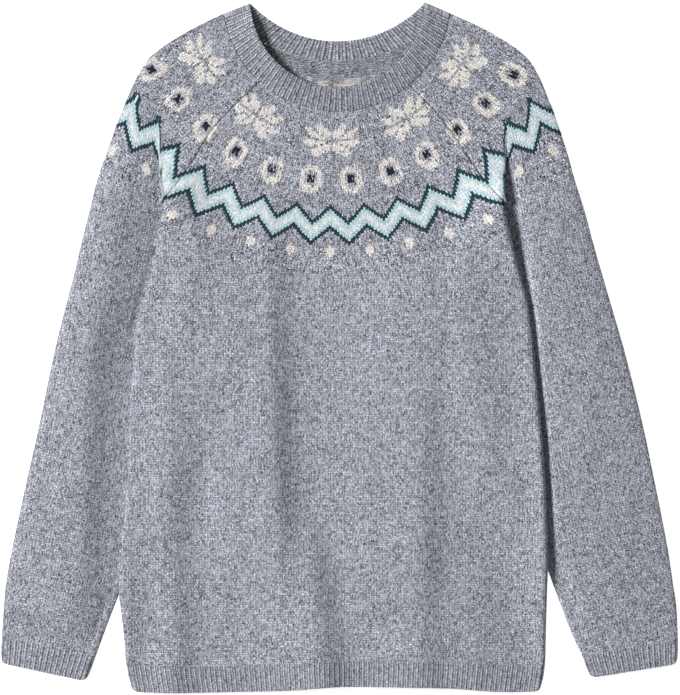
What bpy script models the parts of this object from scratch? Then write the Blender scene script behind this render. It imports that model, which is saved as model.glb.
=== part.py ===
"""Raglan jumper with ribbed neckband, hem and cuffs, laid flat on its back.

The surface it lies on is z = 0, +Y runs from the hem to the neck, and the sleeves are
tucked behind the sides of the body. All sizes below are in millimetres.
"""

import math

import bmesh
import bpy

for old in list(bpy.data.objects):
    bpy.data.objects.remove(old, do_unlink=True)

MM = 0.001
CENTRE_X = 1.0  # middle of the whole width, in the tables' own frame
WALL = 2.0  # thickness of the knitted cloth
SEAM = 0.15  # half of the gap between two pieces at a seam
FRONT_TOP = 5.0  # top of the front layer where it lies on the back layer
ARM_TOP = 4.8  # top of a sleeve where the body lies on it
BODY_ON_ARM = 5.2  # underside of the back panel where it lies on a sleeve
RAMP = 34.0  # width over which the back panel comes down beside a tucked sleeve
FRONT_RAMP = 58.0  # and the front panel, which lies more softly
FOLD_INSET = 6.0  # how far a side fold reaches in from the edge
EDGE_PUFF = 1.2  # extra height of the body beside its folds
UNDERARM_LIFT = 2.2  # extra height of the yoke where it folds over the sleeve
UNDERARM_REACH = 105.0
ARM_CROWN = 2.6  # how far a sleeve's upper layer bows up between its folds
CORNER = 7.0  # radius of the hem's and the cuffs' corners
RIB_HEIGHT = 0.7
HEM_RIBS = 85
CUFF_RIBS = 18
NECK_FRONT_RIBS = 56
NECK_BACK_RIBS = 42
# Rows between the neckband seam and the underarm, in sections of the sleeve tables.
YOKE_ROWS = (0.0, 0.5, 1.0, 1.5, 2.0, 2.5, 3.0, 3.5, 4.0, 4.5, 4.75, 5.0)

# A sleeve's sections from the neck to the cuff seam: the front edge (the raglan seam down
# to the underarm, then the inner fold), the overarm fold, and the back edge.
SLEEVE_COLUMNS = ("front_x", "front_y", "over_x", "over_y", "back_x", "back_y")
UNDERARM = 5
SLEEVE_LEFT = (
    (-83.0, 279.1, -121.2, 351.2, -93.5, 328.7),
    (-109.2, 254.6, -160.7, 331.3, -107.1, 291.4),
    (-134.4, 227.3, -201.6, 301.9, -126.0, 253.6),
    (-153.3, 195.8, -225.8, 254.6, -153.3, 195.8),
    (-170.1, 171.7, -241.5, 212.6, -170.1, 171.7),
    (-184.8, 147.5, -254.1, 175.9, -184.8, 147.5),
    (-165.9, 119.2, -262.5, 142.3, -165.9, 119.2),
    (-150.2, 89.8, -270.4, 110.8, -150.2, 89.8),
    (-141.8, 49.9, -279.8, 70.9, -141.8, 49.9),
    (-142.8, 7.9, -290.3, 31.0, -142.8, 7.9),
    (-153.3, -39.4, -300.8, -13.1, -153.3, -39.4),
    (-175.3, -107.6, -315.0, -81.4, -175.3, -107.6),
    (-198.5, -170.6, -328.7, -142.3, -198.5, -170.6),
    (-218.4, -224.2, -341.8, -203.2, -218.4, -224.2),
    (-231.0, -258.8, -349.7, -246.2, -231.0, -258.8),
    (-243.6, -291.4, -352.3, -272.5, -243.6, -291.4),
    (-253.1, -317.6, -353.9, -297.7, -253.1, -317.6),
)
SLEEVE_RIGHT = (
    (74.5, 275.4, 117.0, 351.2, 89.2, 328.7),
    (101.9, 247.3, 158.6, 331.3, 102.9, 291.4),
    (121.8, 221.0, 199.5, 301.9, 121.8, 253.6),
    (140.7, 192.7, 222.6, 254.6, 140.7, 192.7),
    (157.5, 169.6, 237.3, 212.6, 157.5, 169.6),
    (174.3, 147.5, 247.8, 175.9, 174.3, 147.5),
    (156.5, 117.1, 258.3, 142.3, 156.5, 117.1),
    (142.8, 86.6, 266.7, 110.8, 142.8, 86.6),
    (135.5, 47.8, 278.2, 70.9, 135.5, 47.8),
    (138.6, 2.6, 289.8, 31.0, 138.6, 2.6),
    (149.1, -46.7, 302.4, -13.1, 149.1, -46.7),
    (172.2, -113.9, 319.2, -81.4, 172.2, -113.9),
    (194.2, -170.6, 331.8, -142.3, 194.2, -170.6),
    (212.1, -215.8, 343.9, -203.2, 212.1, -215.8),
    (225.8, -251.5, 350.7, -246.2, 225.8, -251.5),
    (240.5, -291.4, 354.4, -272.5, 240.5, -291.4),
    (253.1, -318.7, 355.9, -301.9, 253.1, -318.7),
)

# The crease where the yoke folds over each sleeve, and below the underarm the body's sides.
SIDE_COLUMNS = ("y", "left_x", "right_x")
SIDES = (
    (240.0, -188.0, 173.2),
    (192.0, -188.0, 174.3),
    (147.5, -184.8, 174.3),
    (121.3, -189.5, 179.6),
    (95.0, -193.2, 185.8),
    (62.5, -201.6, 194.2),
    (38.3, -208.4, 199.5),
    (7.9, -213.2, 203.2),
    (-43.6, -218.4, 208.4),
    (-86.6, -220.0, 212.6),
    (-130.7, -221.6, 215.8),
    (-181.1, -225.8, 218.4),
    (-223.1, -228.9, 219.5),
    (-254.6, -231.0, 218.4),
    (-296.6, -226.8, 217.4),
    (-332.3, -223.7, 216.3),
    (-360.7, -218.4, 212.1),
)
UNDERARM_Y = 147.5
HEM_SEAM_Y = -332.3

# The hem's lower edge.
HEM_COLUMNS = ("x", "y")
HEM = (
    (-218.4, -361.4),
    (-177.5, -362.8),
    (-104.0, -361.7),
    (-51.5, -360.2),
    (1.1, -356.5),
    (64.0, -357.0),
    (116.6, -358.1),
    (169.1, -361.7),
    (212.1, -361.0),
)
HEM_MEAN_Y = -360.0

# Soft ridges of the front panel, from an upper to a lower end.
RIDGE_COLUMNS = ("x0", "y0", "x1", "y1", "half_width", "height")
RIDGES = (
    (-86.1, 118.1, -80.9, -207.4, 31.5, 2.2),
    (-76.0, -190.0, -32.6, -400.0, 31.5, 2.4),
    (58.8, 90.0, 72.5, -400.0, 35.7, 2.1),
    (-198.5, -254.6, -190.1, -400.0, 21.0, 1.6),
)

# Cuffs: inner and overarm ends of the seam and of the lower edge.
CUFF_COLUMNS = ("inner_x", "inner_y", "over_x", "over_y")
CUFF_LEFT = (
    (-253.1, -317.6, -353.9, -297.7),
    (-263.6, -346.0, -355.4, -325.0),
)
CUFF_RIGHT = (
    (253.1, -318.7, 355.9, -301.9),
    (263.6, -344.9, 355.4, -329.2),
)

# Neckband arcs between the two shoulder folds: end points and how far each arc bows down.
NECK_CENTRE = (-2.1, 368.0)
NECK_FRONT_RADIUS = 120.2
NECK_BACK_RADIUS = 167.8
NECK_COLUMNS = ("left_x", "left_y", "right_x", "right_y", "bow")
NECK_FRONT_EDGE = (-93.5, 361.7, 90.3, 362.8, 88.7)
NECK_FRONT_SEAM = (-121.2, 351.2, 117.0, 351.2, 103.4)
NECK_BACK_EDGE = (-93.5, 361.7, 90.3, 362.8, 40.4)
NECK_BACK_SEAM = (-121.2, 351.2, 117.0, 351.2, 49.6)
SHOULDER_STEP = 0.5  # the band's shoulder fold lies this much higher, the sleeve's lower
COLLAR_STAND = 3.8  # how far the front band's edge stands up on its left

ARC = (90.0, 60.0, 30.0, 0.0)  # angles round a fold, from its edge to the flat


def step(value):
    """Smooth rise from 0 to 1."""
    value = max(0.0, min(1.0, value))
    return value * value * (3.0 - 2.0 * value)


def smooth(rows, t):
    """Catmull-Rom value of a table at t, where row i lies at t = i."""
    last = len(rows) - 1
    i = min(int(t), last - 1)
    f = t - i
    b = rows[i]
    c = rows[i + 1]
    a = rows[i - 1] if i else [2 * p - q for p, q in zip(b, c)]
    d = rows[i + 2] if i + 2 <= last else [2 * q - p for p, q in zip(b, c)]
    found = []
    for p0, p1, p2, p3 in zip(a, b, c, d):
        bend = 2 * p0 - 5 * p1 + 4 * p2 - p3 + f * (3 * (p1 - p2) + p3 - p0)
        found.append(p1 + 0.5 * f * (p2 - p0 + f * bend))
    return found


def column_at(rows, key, column, at=0):
    """Smooth value of one column where the key column (at) has this value."""
    keys = [row[at] for row in rows]
    values = [row[column] for row in rows]
    if keys[0] > keys[-1]:
        keys = keys[::-1]
        values = values[::-1]
    key = max(keys[0], min(keys[-1], key))
    i = 0
    while i < len(keys) - 2 and key > keys[i + 1]:
        i += 1
    slopes = []
    for k in (i, i + 1):
        low = max(k - 1, 0)
        high = min(k + 1, len(keys) - 1)
        slopes.append((values[high] - values[low]) / (keys[high] - keys[low]))
    span = keys[i + 1] - keys[i]
    f = (key - keys[i]) / span
    near = (1 + 2 * f) * (1 - f) ** 2 * values[i] + f * f * (3 - 2 * f) * values[i + 1]
    return near + span * f * (1 - f) * ((1 - f) * slopes[0] - f * slopes[1])


def bowed(start, end, bow, u, centre=NECK_CENTRE):
    """Point at fraction u of an arc from start to end that bows away from a centre."""
    dx = end[0] - start[0]
    dy = end[1] - start[1]
    chord = math.hypot(dx, dy)
    if bow < 0.001:
        return (start[0] + u * dx, start[1] + u * dy)
    radius = (chord * chord / 4 + bow * bow) / (2 * bow)
    half = math.asin(min(1.0, chord / 2 / radius))
    along = radius * math.sin((2 * u - 1) * half)
    out = radius * math.cos((2 * u - 1) * half) - radius + bow
    mid = ((start[0] + end[0]) / 2, (start[1] + end[1]) / 2)
    normal = (-dy / chord, dx / chord)
    if normal[0] * (mid[0] - centre[0]) + normal[1] * (mid[1] - centre[1]) < 0:
        normal = (-normal[0], -normal[1])
    return (
        mid[0] + along * dx / chord + out * normal[0],
        mid[1] + along * dy / chord + out * normal[1],
    )


def sagitta(radius, chord):
    return radius - math.sqrt(radius * radius - chord * chord / 4)


def on_arm(x, y, ramp=RAMP):
    """Height of the back panel's underside: it lies on the floor and on the tucked sleeves."""
    best = 0.0
    for sleeve, sign in ((SLEEVE_LEFT, 1.0), (SLEEVE_RIGHT, -1.0)):
        if y > UNDERARM_Y:
            away = math.hypot(x - sleeve[UNDERARM][0], y - UNDERARM_Y)
        else:
            away = sign * (x - column_at(sleeve[UNDERARM:], y, 0, 1))
        best = max(best, BODY_ON_ARM * step(1.0 - (away - 1.0) / ramp))
    return best


def front_top(x, y):
    """Height of the front layer's upper surface over the body and the yoke."""
    height = FRONT_TOP + on_arm(x, y, FRONT_RAMP)
    for sleeve, column in ((SLEEVE_LEFT, 1), (SLEEVE_RIGHT, 2)):
        away = math.hypot(x - sleeve[UNDERARM][0], y - UNDERARM_Y)
        height += UNDERARM_LIFT * step(1.0 - away / UNDERARM_REACH)
        if y < UNDERARM_Y:
            edge = abs(x - column_at(SIDES, y, column))
            height += EDGE_PUFF * math.exp(-((edge / 16.0) ** 2)) * step((UNDERARM_Y - y) / 60)
    for x0, y0, x1, y1, half_width, ridge in RIDGES:
        along = (y0 - y) / (y0 - y1)
        off = (x - x0 - (x1 - x0) * along) / half_width
        ends = step(along * (y0 - y1) / 80 + 0.4) * step((1 - along) * (y0 - y1) / 80 + 0.4)
        height += ridge * math.exp(-off * off) * ends
    return height


def fold_columns(curl, inset=FOLD_INSET, inner=False, gap=SEAM):
    """Insets and drops of a section's last points, from its edge inwards.

    With curl 1 they turn through a quarter of an ellipse and with curl 0 they stay flat.
    A drop of 1 brings a point to the fold's middle height.
    """
    found = []
    for j, angle in enumerate(ARC):
        turn = math.radians(angle)
        flat = gap + inset * j / (len(ARC) - 1)
        round_in = inset * (1 - math.sin(turn))
        if inner:
            round_in = WALL + (inset - WALL) * (1 - math.sin(turn))
        found.append(((1 - curl) * flat + curl * round_in, curl * (1 - math.cos(turn))))
    return found


def material(name, colour, roughness):
    made = bpy.data.materials.new(name)
    made.use_nodes = True
    shader = made.node_tree.nodes["Principled BSDF"]
    shader.inputs["Base Color"].default_value = (*colour, 1.0)
    shader.inputs["Roughness"].default_value = roughness
    shader.inputs["Metallic"].default_value = 0.0
    return made


HEATHER = (0.315, 0.335, 0.385)
RIB_HEATHER = (0.275, 0.29, 0.335)
parts = bpy.data.collections.new("christmas_sweater")
bpy.context.scene.collection.children.link(parts)


def loft(name, outer, inner, colour, ring=False, joined_from=None):
    """Closed wall between an outer and an inner net of points.

    ring joins the last column to the first. joined_from does so only from that row on.
    """
    mesh = bmesh.new()
    nets = []
    for net in (outer, inner):
        centred = [[(x - CENTRE_X, y, z) for x, y, z in row] for row in net]
        nets.append([[mesh.verts.new([c * MM for c in point]) for point in row] for row in centred])
    rows = len(outer)
    columns = len(outer[0])
    if ring:
        joined_from = 0
    for i in range(rows - 1):
        wraps = joined_from is not None and i >= joined_from
        for j in range(columns if wraps else columns - 1):
            k = (j + 1) % columns
            a, b = nets
            mesh.faces.new((a[i][j], a[i + 1][j], a[i + 1][k], a[i][k]))
            mesh.faces.new((b[i][j], b[i][k], b[i + 1][k], b[i + 1][j]))
        if not wraps:
            for j, k in ((0, i), (columns - 1, i)):
                wall = (nets[0][k][j], nets[0][k + 1][j], nets[1][k + 1][j], nets[1][k][j])
                mesh.faces.new(wall)
    for i in (0, rows - 1):
        wraps = ring or (joined_from is not None and i > joined_from)
        for j in range(columns if wraps else columns - 1):
            k = (j + 1) % columns
            mesh.faces.new((nets[0][i][j], nets[0][i][k], nets[1][i][k], nets[1][i][j]))
    if joined_from:
        i = joined_from
        mesh.faces.new((nets[0][i][0], nets[0][i][-1], nets[1][i][-1], nets[1][i][0]))
    bmesh.ops.recalc_face_normals(mesh, faces=mesh.faces)
    data = bpy.data.meshes.new(name)
    mesh.to_mesh(data)
    mesh.free()
    data.materials.append(material(name, colour, 0.95))
    data.shade_smooth()
    data.set_sharp_from_angle(angle=math.radians(50))
    made = bpy.data.objects.new(name, data)
    parts.objects.link(made)
    return made


def hem_shift(x, y, low):
    """How far a row moves so that the body ends in the hem's uneven line."""
    wave = column_at(HEM, x, 1) - HEM_MEAN_Y
    if low:
        return wave
    return wave * 0.8 * step((HEM_SEAM_Y + 130 - y) / 130)


def body_rows(back, body_heights):
    """Ends, bow and curl of each row of a body panel."""
    rows = []
    for t in YOKE_ROWS:
        left = smooth(SLEEVE_LEFT, t)
        right = smooth(SLEEVE_RIGHT, t)
        start = (left[4], left[5]) if back else (left[0], left[1])
        end = (right[4], right[5]) if back else (right[0], right[1])
        chord = math.hypot(end[0] - start[0], end[1] - start[1])
        radius = NECK_BACK_RADIUS if back else NECK_FRONT_RADIUS
        if t == 0.0:
            first_bow = sagitta(radius, chord)
        bow = first_bow * (1 - t / UNDERARM) ** 1.3
        rows.append((start, end, bow, step((t - 4.5) / 0.5)))
    for y in body_heights:
        start = (column_at(SIDES, y, 1), y)
        end = (column_at(SIDES, y, 2), y)
        rows.append((start, end, 0.0, 1.0))
    return rows


def flat_places(row, middle, ribs):
    """Distances along a body row of its columns between the two side folds.

    Four columns a side follow the slope beside the tucked sleeve.
    """
    start, end, _, _ = row
    length = math.hypot(end[0] - start[0], end[1] - start[1])
    if ribs:
        room = length - 2 * FOLD_INSET
        return [(FOLD_INSET + room * j / (2 * ribs), j % 2) for j in range(1, 2 * ribs)]
    sides = []
    for sleeve_rows, x, sign in ((SLEEVE_LEFT, start[0], 1.0), (SLEEVE_RIGHT, end[0], -1.0)):
        tuck = 0.0
        if start[1] < UNDERARM_Y:
            tuck = sign * (column_at(sleeve_rows[UNDERARM:], start[1], 0, 1) - x)
        first = max(tuck + 1.0, FOLD_INSET + 4.0)
        places = [(FOLD_INSET + first) / 2]
        sides.append(places + [first + RAMP * part for part in (0.0, 0.35, 0.7, 1.1)])
    left, right = sides
    room = length - left[-1] - right[-1]
    centre = [left[-1] + room * j / (middle + 1) for j in range(1, middle + 1)]
    return [(at, 0) for at in left + centre + [length - at for at in reversed(right)]]


def body_section(row, back, middle, first=False, ribs=0, low=False):
    """Outer and inner points of one row of a body panel or of its rib."""
    start, end, bow, curl = row
    length = math.hypot(end[0] - start[0], end[1] - start[1])
    nets = []
    inset = FOLD_INSET + SEAM
    levels = []
    for u in (inset / length, 1 - inset / length):
        x, y = bowed(start, end, bow, u)
        levels.append((front_top(x, y) + on_arm(x, y)) / 2)
    for inner in (False, True):
        places = []
        for into, drop in fold_columns(curl, inner=inner):
            places.append((into / length, drop, 0))
        for flat, peak in flat_places(row, middle, ribs):
            places.append((flat / length, 0.0, peak))
        for into, drop in reversed(fold_columns(curl, inner=inner)):
            places.append((1 - into / length, drop, 0))
        net = []
        for u, drop, peak in places:
            x, y = bowed(start, end, bow, u)
            level = levels[0] if u < 0.5 else levels[1]
            if back:
                z = on_arm(x, y) + (WALL if inner else 0.0)
                z = z + (level - SEAM - z) * drop
            else:
                z = front_top(x, y) - (WALL if inner else 0.0)
                z = z + (level + SEAM - z) * drop
                if ribs and not inner:
                    z += RIB_HEIGHT * peak - 0.2 * (drop < 0.1)
            if first:
                y -= SEAM
            if y < UNDERARM_Y - 200:
                y += hem_shift(x, y, low)
            if low:
                near = min(u, 1 - u) * length
                if near < CORNER:
                    y += CORNER - math.sqrt(CORNER**2 - (CORNER - near) ** 2)
            net.append((x, y, z))
        nets.append(net)
    return nets


def body_panel(name, back, middle, heights):
    rows = body_rows(back, heights)
    nets = [body_section(row, back, middle, first=k == 0) for k, row in enumerate(rows)]
    loft(name, [net[0] for net in nets], [net[1] for net in nets], HEATHER)


def hem_rib(name, back, middle, ribs):
    nets = []
    for y, low in ((HEM_SEAM_Y - SEAM, False), (HEM_MEAN_Y, True)):
        row = ((column_at(SIDES, y, 1), y), (column_at(SIDES, y, 2), y), 0.0, 1.0)
        nets.append(body_section(row, back, middle, ribs=ribs, low=low))
    loft(name, [net[0] for net in nets], [net[1] for net in nets], RIB_HEATHER)


def crease_distance(front, over, column, length, side):
    """Distance along a sleeve's row from its front edge to the crease or the body's side."""
    low = 0.0
    high = 1.0
    for _ in range(30):
        u = (low + high) / 2
        x = front[0] + u * (over[0] - front[0])
        y = front[1] + u * (over[1] - front[1])
        if (x - column_at(SIDES, y, column)) * side < 0:
            low = u
        else:
            high = u
    return min(high * length, 0.72 * length)


def crease_columns(crease, inset):
    """Distances of a row's columns at the top and the foot of the crease."""
    return (crease - min(1.5, 0.3 * (crease - inset)), crease + 1.5)


def sleeve_top(x, y, t, along, length, crease, inset):
    """Height of a sleeve's upper surface, along from its front edge in a row of this length."""
    base = FRONT_TOP + (ARM_TOP - FRONT_TOP) * step(t - 4.5)
    free = max(length - crease - 2.0, 1.0)
    q = max(0.0, min(1.0, (length - along) / free))
    grow = step(t / 6) * (1.0 - 0.5 * step((t - 12.5) / 3.5))
    low = base + ARM_CROWN * grow * math.sin(math.pi * q**0.85)
    high = front_top(x, y) if t < UNDERARM else low
    above, below = crease_columns(crease, inset)
    share = (1 - step((along - above) / (below - above))) * (1 - step((t - 4.75) / 0.25))
    return low + (high - low) * share


def sleeve_section(row, t, column, side, shift=(0.0, 0.0), first=False):
    """Outer and inner points of one row of a sleeve, from front edge to back edge."""
    front = (row[0], row[1])
    over = (row[2], row[3])
    back = (row[4], row[5])
    upper = math.hypot(over[0] - front[0], over[1] - front[1])
    lower = math.hypot(back[0] - over[0], back[1] - over[1])
    fade = max(0.0, 1 - t / UNDERARM) ** 1.3
    bow_up = sagitta(NECK_FRONT_RADIUS, min(upper, 90.0)) * fade
    bow_low = sagitta(NECK_BACK_RADIUS, min(lower, 90.0)) * fade
    crease = crease_distance(front, over, column, upper, side)
    if t <= UNDERARM:
        inset = max(2.5, min(FOLD_INSET, crease - 2.5))
    else:
        inset = 2.5 + (FOLD_INSET - 2.5) * step((t - UNDERARM) / 0.8)
    crease = max(crease, inset + 1.8)
    curl = step((t - 4.5) / 0.5)
    joined = t >= UNDERARM - 0.001
    gap = SEAM if t <= UNDERARM else 0.0
    tops = {}
    for key, into in (("in", inset + SEAM), ("out", upper - FOLD_INSET)):
        x, y = bowed(front, over, bow_up, into / upper)
        tops[key] = sleeve_top(x, y, t, into, upper, crease, inset) / 2
    tops["out"] -= SHOULDER_STEP * (1 - step(t / 0.5))
    half_nose = 0.5 if joined else SEAM
    nets = []
    for inner in (False, True):
        net = []
        wall = WALL if inner else 0.0
        edge = fold_columns(curl, inset, inner=inner)
        places = [(into + gap * curl, drop, "in") for into, drop in edge]
        above, below = crease_columns(crease, inset)
        flat = [(inset + above) / 2, above, below]
        flat += [crease + part * (upper - FOLD_INSET - crease) for part in (0.3, 0.62)]
        for k, along in enumerate(flat):
            even = FOLD_INSET + (upper - 2 * FOLD_INSET) * (k + 1) / (len(flat) + 1)
            places.append((along + (even - along) * (1 - step(t / 1.5)), 0.0, ""))
        over_fold = fold_columns(1.0, inner=inner, gap=0.0)
        for into, drop in reversed(over_fold):
            places.append((upper - into, drop, "out"))
        for along, drop, end in places:
            x, y = bowed(front, over, bow_up, along / upper)
            z = sleeve_top(x, y, t, along, upper, crease, inset) - wall
            if end:
                middle = tops[end] + (half_nose if end == "in" else 0.0)
                z += (middle - z) * drop
            net.append((x, y, z))
        places = [(into, drop, "out") for into, drop in over_fold[1:]]
        for part in (0.36, 0.68):
            places.append((part * lower, 0.0, ""))
        for into, drop in reversed(edge):
            places.append((lower - into - gap * curl, drop, "in"))
        for along, drop, end in places:
            x, y = bowed(over, back, bow_low, along / lower)
            z = wall
            if end:
                middle = tops[end] - (half_nose if end == "in" else 0.0)
                z += (middle - z) * drop
            net.append((x, y, z))
        if first:
            net = [away_from_neck(point) for point in net]
        nets.append([(x + shift[0], y + shift[1], z) for x, y, z in net])
    return nets


def away_from_neck(point):
    """A point moved out, so that a sleeve's chords keep clear of the neckband's arc."""
    x, y, z = point
    far = math.hypot(x - NECK_CENTRE[0], y - NECK_CENTRE[1])
    out = 2 * SEAM / far
    return (x + out * (x - NECK_CENTRE[0]), y + out * (y - NECK_CENTRE[1]), z)


def axis_of(rows):
    """Unit vector along the arm at a cuff."""
    dx = (rows[1][0] + rows[1][2] - rows[0][0] - rows[0][2]) / 2
    dy = (rows[1][1] + rows[1][3] - rows[0][1] - rows[0][3]) / 2
    far = math.hypot(dx, dy)
    return (dx / far, dy / far)


def sleeve(name, rows, cuff, column, side):
    stations = list(YOKE_ROWS)
    stations += [5.35, 5.8, 6.4, 7.2, 8.0, 9.0, 10.0, 11.0, 12.0, 13.0, 14.0, 15.0, 16.0]
    axis = axis_of(cuff)
    outer = []
    inner = []
    for t in stations:
        shift = (-SEAM * axis[0], -SEAM * axis[1]) if t == stations[-1] else (0.0, 0.0)
        nets = sleeve_section(smooth(rows, t), t, column, side, shift, first=t == 0.0)
        outer.append(nets[0])
        inner.append(nets[1])
    loft(name, outer, inner, HEATHER, joined_from=len(YOKE_ROWS) - 1)


def cuff_tube(name, rows):
    """Ribbed cuff: ribs on its upper layer, and a plain lower layer flat on the floor."""
    axis = axis_of(rows)
    outer = []
    inner = []
    for row, low in zip(rows, (False, True)):
        start = (row[0], row[1])
        end = (row[2], row[3])
        length = math.hypot(end[0] - start[0], end[1] - start[1])
        for net, inside in ((outer, False), (inner, True)):
            fold = fold_columns(1.0, inner=inside, gap=0.0)
            wall = WALL if inside else 0.0
            places = [(into, drop, 0) for into, drop in fold]
            for j in range(1, 2 * CUFF_RIBS):
                flat = FOLD_INSET + (length - 2 * FOLD_INSET) * j / (2 * CUFF_RIBS)
                places.append((flat, 0.0, j % 2))
            places += [(length - into, drop, 0) for into, drop in reversed(fold)]
            upper = len(places)
            places += [(length - into, drop, 0) for into, drop in fold[1:]]
            places += [(length * part, 0.0, 0) for part in (0.75, 0.5, 0.25)]
            places += [(into, drop, 0) for into, drop in reversed(fold[1:])]
            points = []
            for k, (along, drop, peak) in enumerate(places):
                crown = math.sin(math.pi * along / length)
                top = FRONT_TOP + 0.5 * ARM_CROWN * crown
                z = top - wall if k < upper else wall
                if k < upper and not inside:
                    z += RIB_HEIGHT * peak - 0.2 * (drop < 0.1)
                z += (FRONT_TOP / 2 - z) * drop
                near = min(along, length - along)
                back = SEAM if not low else 0.0
                if low and near < CORNER:
                    back = math.sqrt(CORNER**2 - (CORNER - near) ** 2) - CORNER
                x = start[0] + (end[0] - start[0]) * along / length + back * axis[0]
                y = start[1] + (end[1] - start[1]) * along / length + back * axis[1]
                points.append((x, y, z))
            net.append(points)
    loft(name, outer, inner, RIB_HEATHER, ring=True)


def neck_point(arc, u):
    return bowed((arc[0], arc[1]), (arc[2], arc[3]), arc[4], u, centre=(arc[0] + 90.0, 900.0))


def neck_length(arc):
    chord = math.hypot(arc[2] - arc[0], arc[3] - arc[1])
    radius = (chord * chord / 4 + arc[4] ** 2) / (2 * arc[4])
    turn = 2 * math.asin(min(1.0, chord / 2 / radius))
    if arc[4] > radius:
        turn = 2 * math.pi - turn
    return radius * turn


def neckband(name):
    """Ribbed ring, folded over at both shoulders, with ribs on the sides that face up."""
    outer = []
    inner = []
    for across in (0.0, 0.5, 1.0):
        for net, inside in ((outer, False), (inner, True)):
            points = []
            fold = fold_columns(1.0, inset=5.0, inner=inside, gap=0.0)
            for back, ribs in ((False, NECK_FRONT_RIBS), (True, NECK_BACK_RIBS)):
                edge = NECK_BACK_EDGE if back else NECK_FRONT_EDGE
                seam = NECK_BACK_SEAM if back else NECK_FRONT_SEAM
                length = neck_length(edge) * (1 - across) + neck_length(seam) * across
                places = [(into, drop, 0) for into, drop in fold]
                for j in range(1, 2 * ribs):
                    places.append((5.0 + (length - 10.0) * j / (2 * ribs), 0.0, j % 2))
                places += [(length - into, drop, 0) for into, drop in reversed(fold)]
                if back:
                    places = places[1:-1]
                for along, drop, peak in places:
                    u = along / length
                    if back:
                        u = 1 - u
                    first = neck_point(edge, u)
                    last = neck_point(seam, u)
                    x = first[0] + (last[0] - first[0]) * across
                    y = first[1] + (last[1] - first[1]) * across
                    if across == 1.0:
                        far = math.hypot(x - NECK_CENTRE[0], y - NECK_CENTRE[1])
                        x -= SEAM * (x - NECK_CENTRE[0]) / far
                        y -= SEAM * (y - NECK_CENTRE[1]) / far
                    if back:
                        z = WALL + RIB_HEIGHT * peak - 0.1 if inside else 0.0
                    else:
                        stand = COLLAR_STAND * step(u / 0.12) * step((0.5 - u) / 0.25)
                        stand += 0.8 * step((u - 0.3) / 0.3) * step((1.0 - u) / 0.1)
                        z = FRONT_TOP + stand * (1 - across) ** 1.5
                        z += -WALL if inside else RIB_HEIGHT * peak - 0.2 * (drop < 0.1)
                    z += (FRONT_TOP / 2 + SHOULDER_STEP - z) * drop
                    points.append((x, y, z))
            net.append(points)
    loft(name, outer, inner, RIB_HEATHER, ring=True)


FRONT_HEIGHTS = [141, 132, 120, 105, 86, 64, 40, 14, -14, -44, -76, -110, -146, -182, -216]
FRONT_HEIGHTS += [-246, -274, -304, HEM_SEAM_Y + SEAM]
BACK_HEIGHTS = [141, 132, 120, 105, 86, 64, 40, -14, -76, -146, -216, -246, -274, -304]
BACK_HEIGHTS += [HEM_SEAM_Y + SEAM]

body_panel("back_panel", True, 8, BACK_HEIGHTS)
body_panel("front_panel", False, 13, FRONT_HEIGHTS)
sleeve("sleeve_left", SLEEVE_LEFT, CUFF_LEFT, 1, -1.0)
sleeve("sleeve_right", SLEEVE_RIGHT, CUFF_RIGHT, 2, 1.0)
hem_rib("hem_rib_front", False, 0, HEM_RIBS)
hem_rib("hem_rib_back", True, 8, 0)
cuff_tube("cuff_left", CUFF_LEFT)
cuff_tube("cuff_right", CUFF_RIGHT)
neckband("neckband")
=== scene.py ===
"""Heather grey raglan jumper with a round colour-knit yoke, laid flat on its back.

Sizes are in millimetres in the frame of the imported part: +Y runs from the hem to the neck.
"""

import math

import bmesh
import bpy
import numpy as np
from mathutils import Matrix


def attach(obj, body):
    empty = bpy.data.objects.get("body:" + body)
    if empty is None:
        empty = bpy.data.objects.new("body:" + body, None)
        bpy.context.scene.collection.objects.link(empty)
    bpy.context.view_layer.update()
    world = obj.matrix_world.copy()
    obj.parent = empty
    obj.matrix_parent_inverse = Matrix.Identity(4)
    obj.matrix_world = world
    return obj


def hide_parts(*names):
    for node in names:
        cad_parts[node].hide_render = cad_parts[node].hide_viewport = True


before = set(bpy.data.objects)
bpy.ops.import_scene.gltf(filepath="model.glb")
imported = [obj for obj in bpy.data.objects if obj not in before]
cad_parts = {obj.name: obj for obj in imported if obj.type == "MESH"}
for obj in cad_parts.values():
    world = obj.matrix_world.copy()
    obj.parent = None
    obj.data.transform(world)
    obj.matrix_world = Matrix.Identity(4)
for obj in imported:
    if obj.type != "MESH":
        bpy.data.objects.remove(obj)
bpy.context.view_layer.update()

# Back panel: the piece that lies lowest, a fully fashioned panel of plain heather knit with the
# yoke's pattern worked in. It is a 2 mm cloth that rises on to the tucked sleeves at its sides,
# and its purl side shows inside the neck. It is linked to the sleeves at the back raglan seams.
MM = 0.001
CENTRE_X = 1.0
WALL = 2.0
SEAM = 0.15
FRONT_TOP = 5.0
BODY_ON_ARM = 5.2
RAMP = 34.0
FRONT_RAMP = 58.0
FOLD_INSET = 6.0
UNDERARM_LIFT = 2.2
UNDERARM_REACH = 105.0
GROOVE_DEPTH = 0.7
GROOVE_WIDTH = 1.1
SEAM_SHOWS_TO = 176.0  # below this height the raglan seam runs out into the body's side
FAR_FROM_SEAM = 9.0
WALE = 2.84  # width of a stitch
COURSE = 2.5  # height of a row

UNDERARM = 5  # the row of a sleeve at which its raglan seams meet


def with_back_edge(rows, back):
    """Adds each row's back edge: first the back raglan seam's points, then the front edge's."""
    return tuple(row + (back[k] if k < len(back) else row[:2]) for k, row in enumerate(rows))


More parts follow.
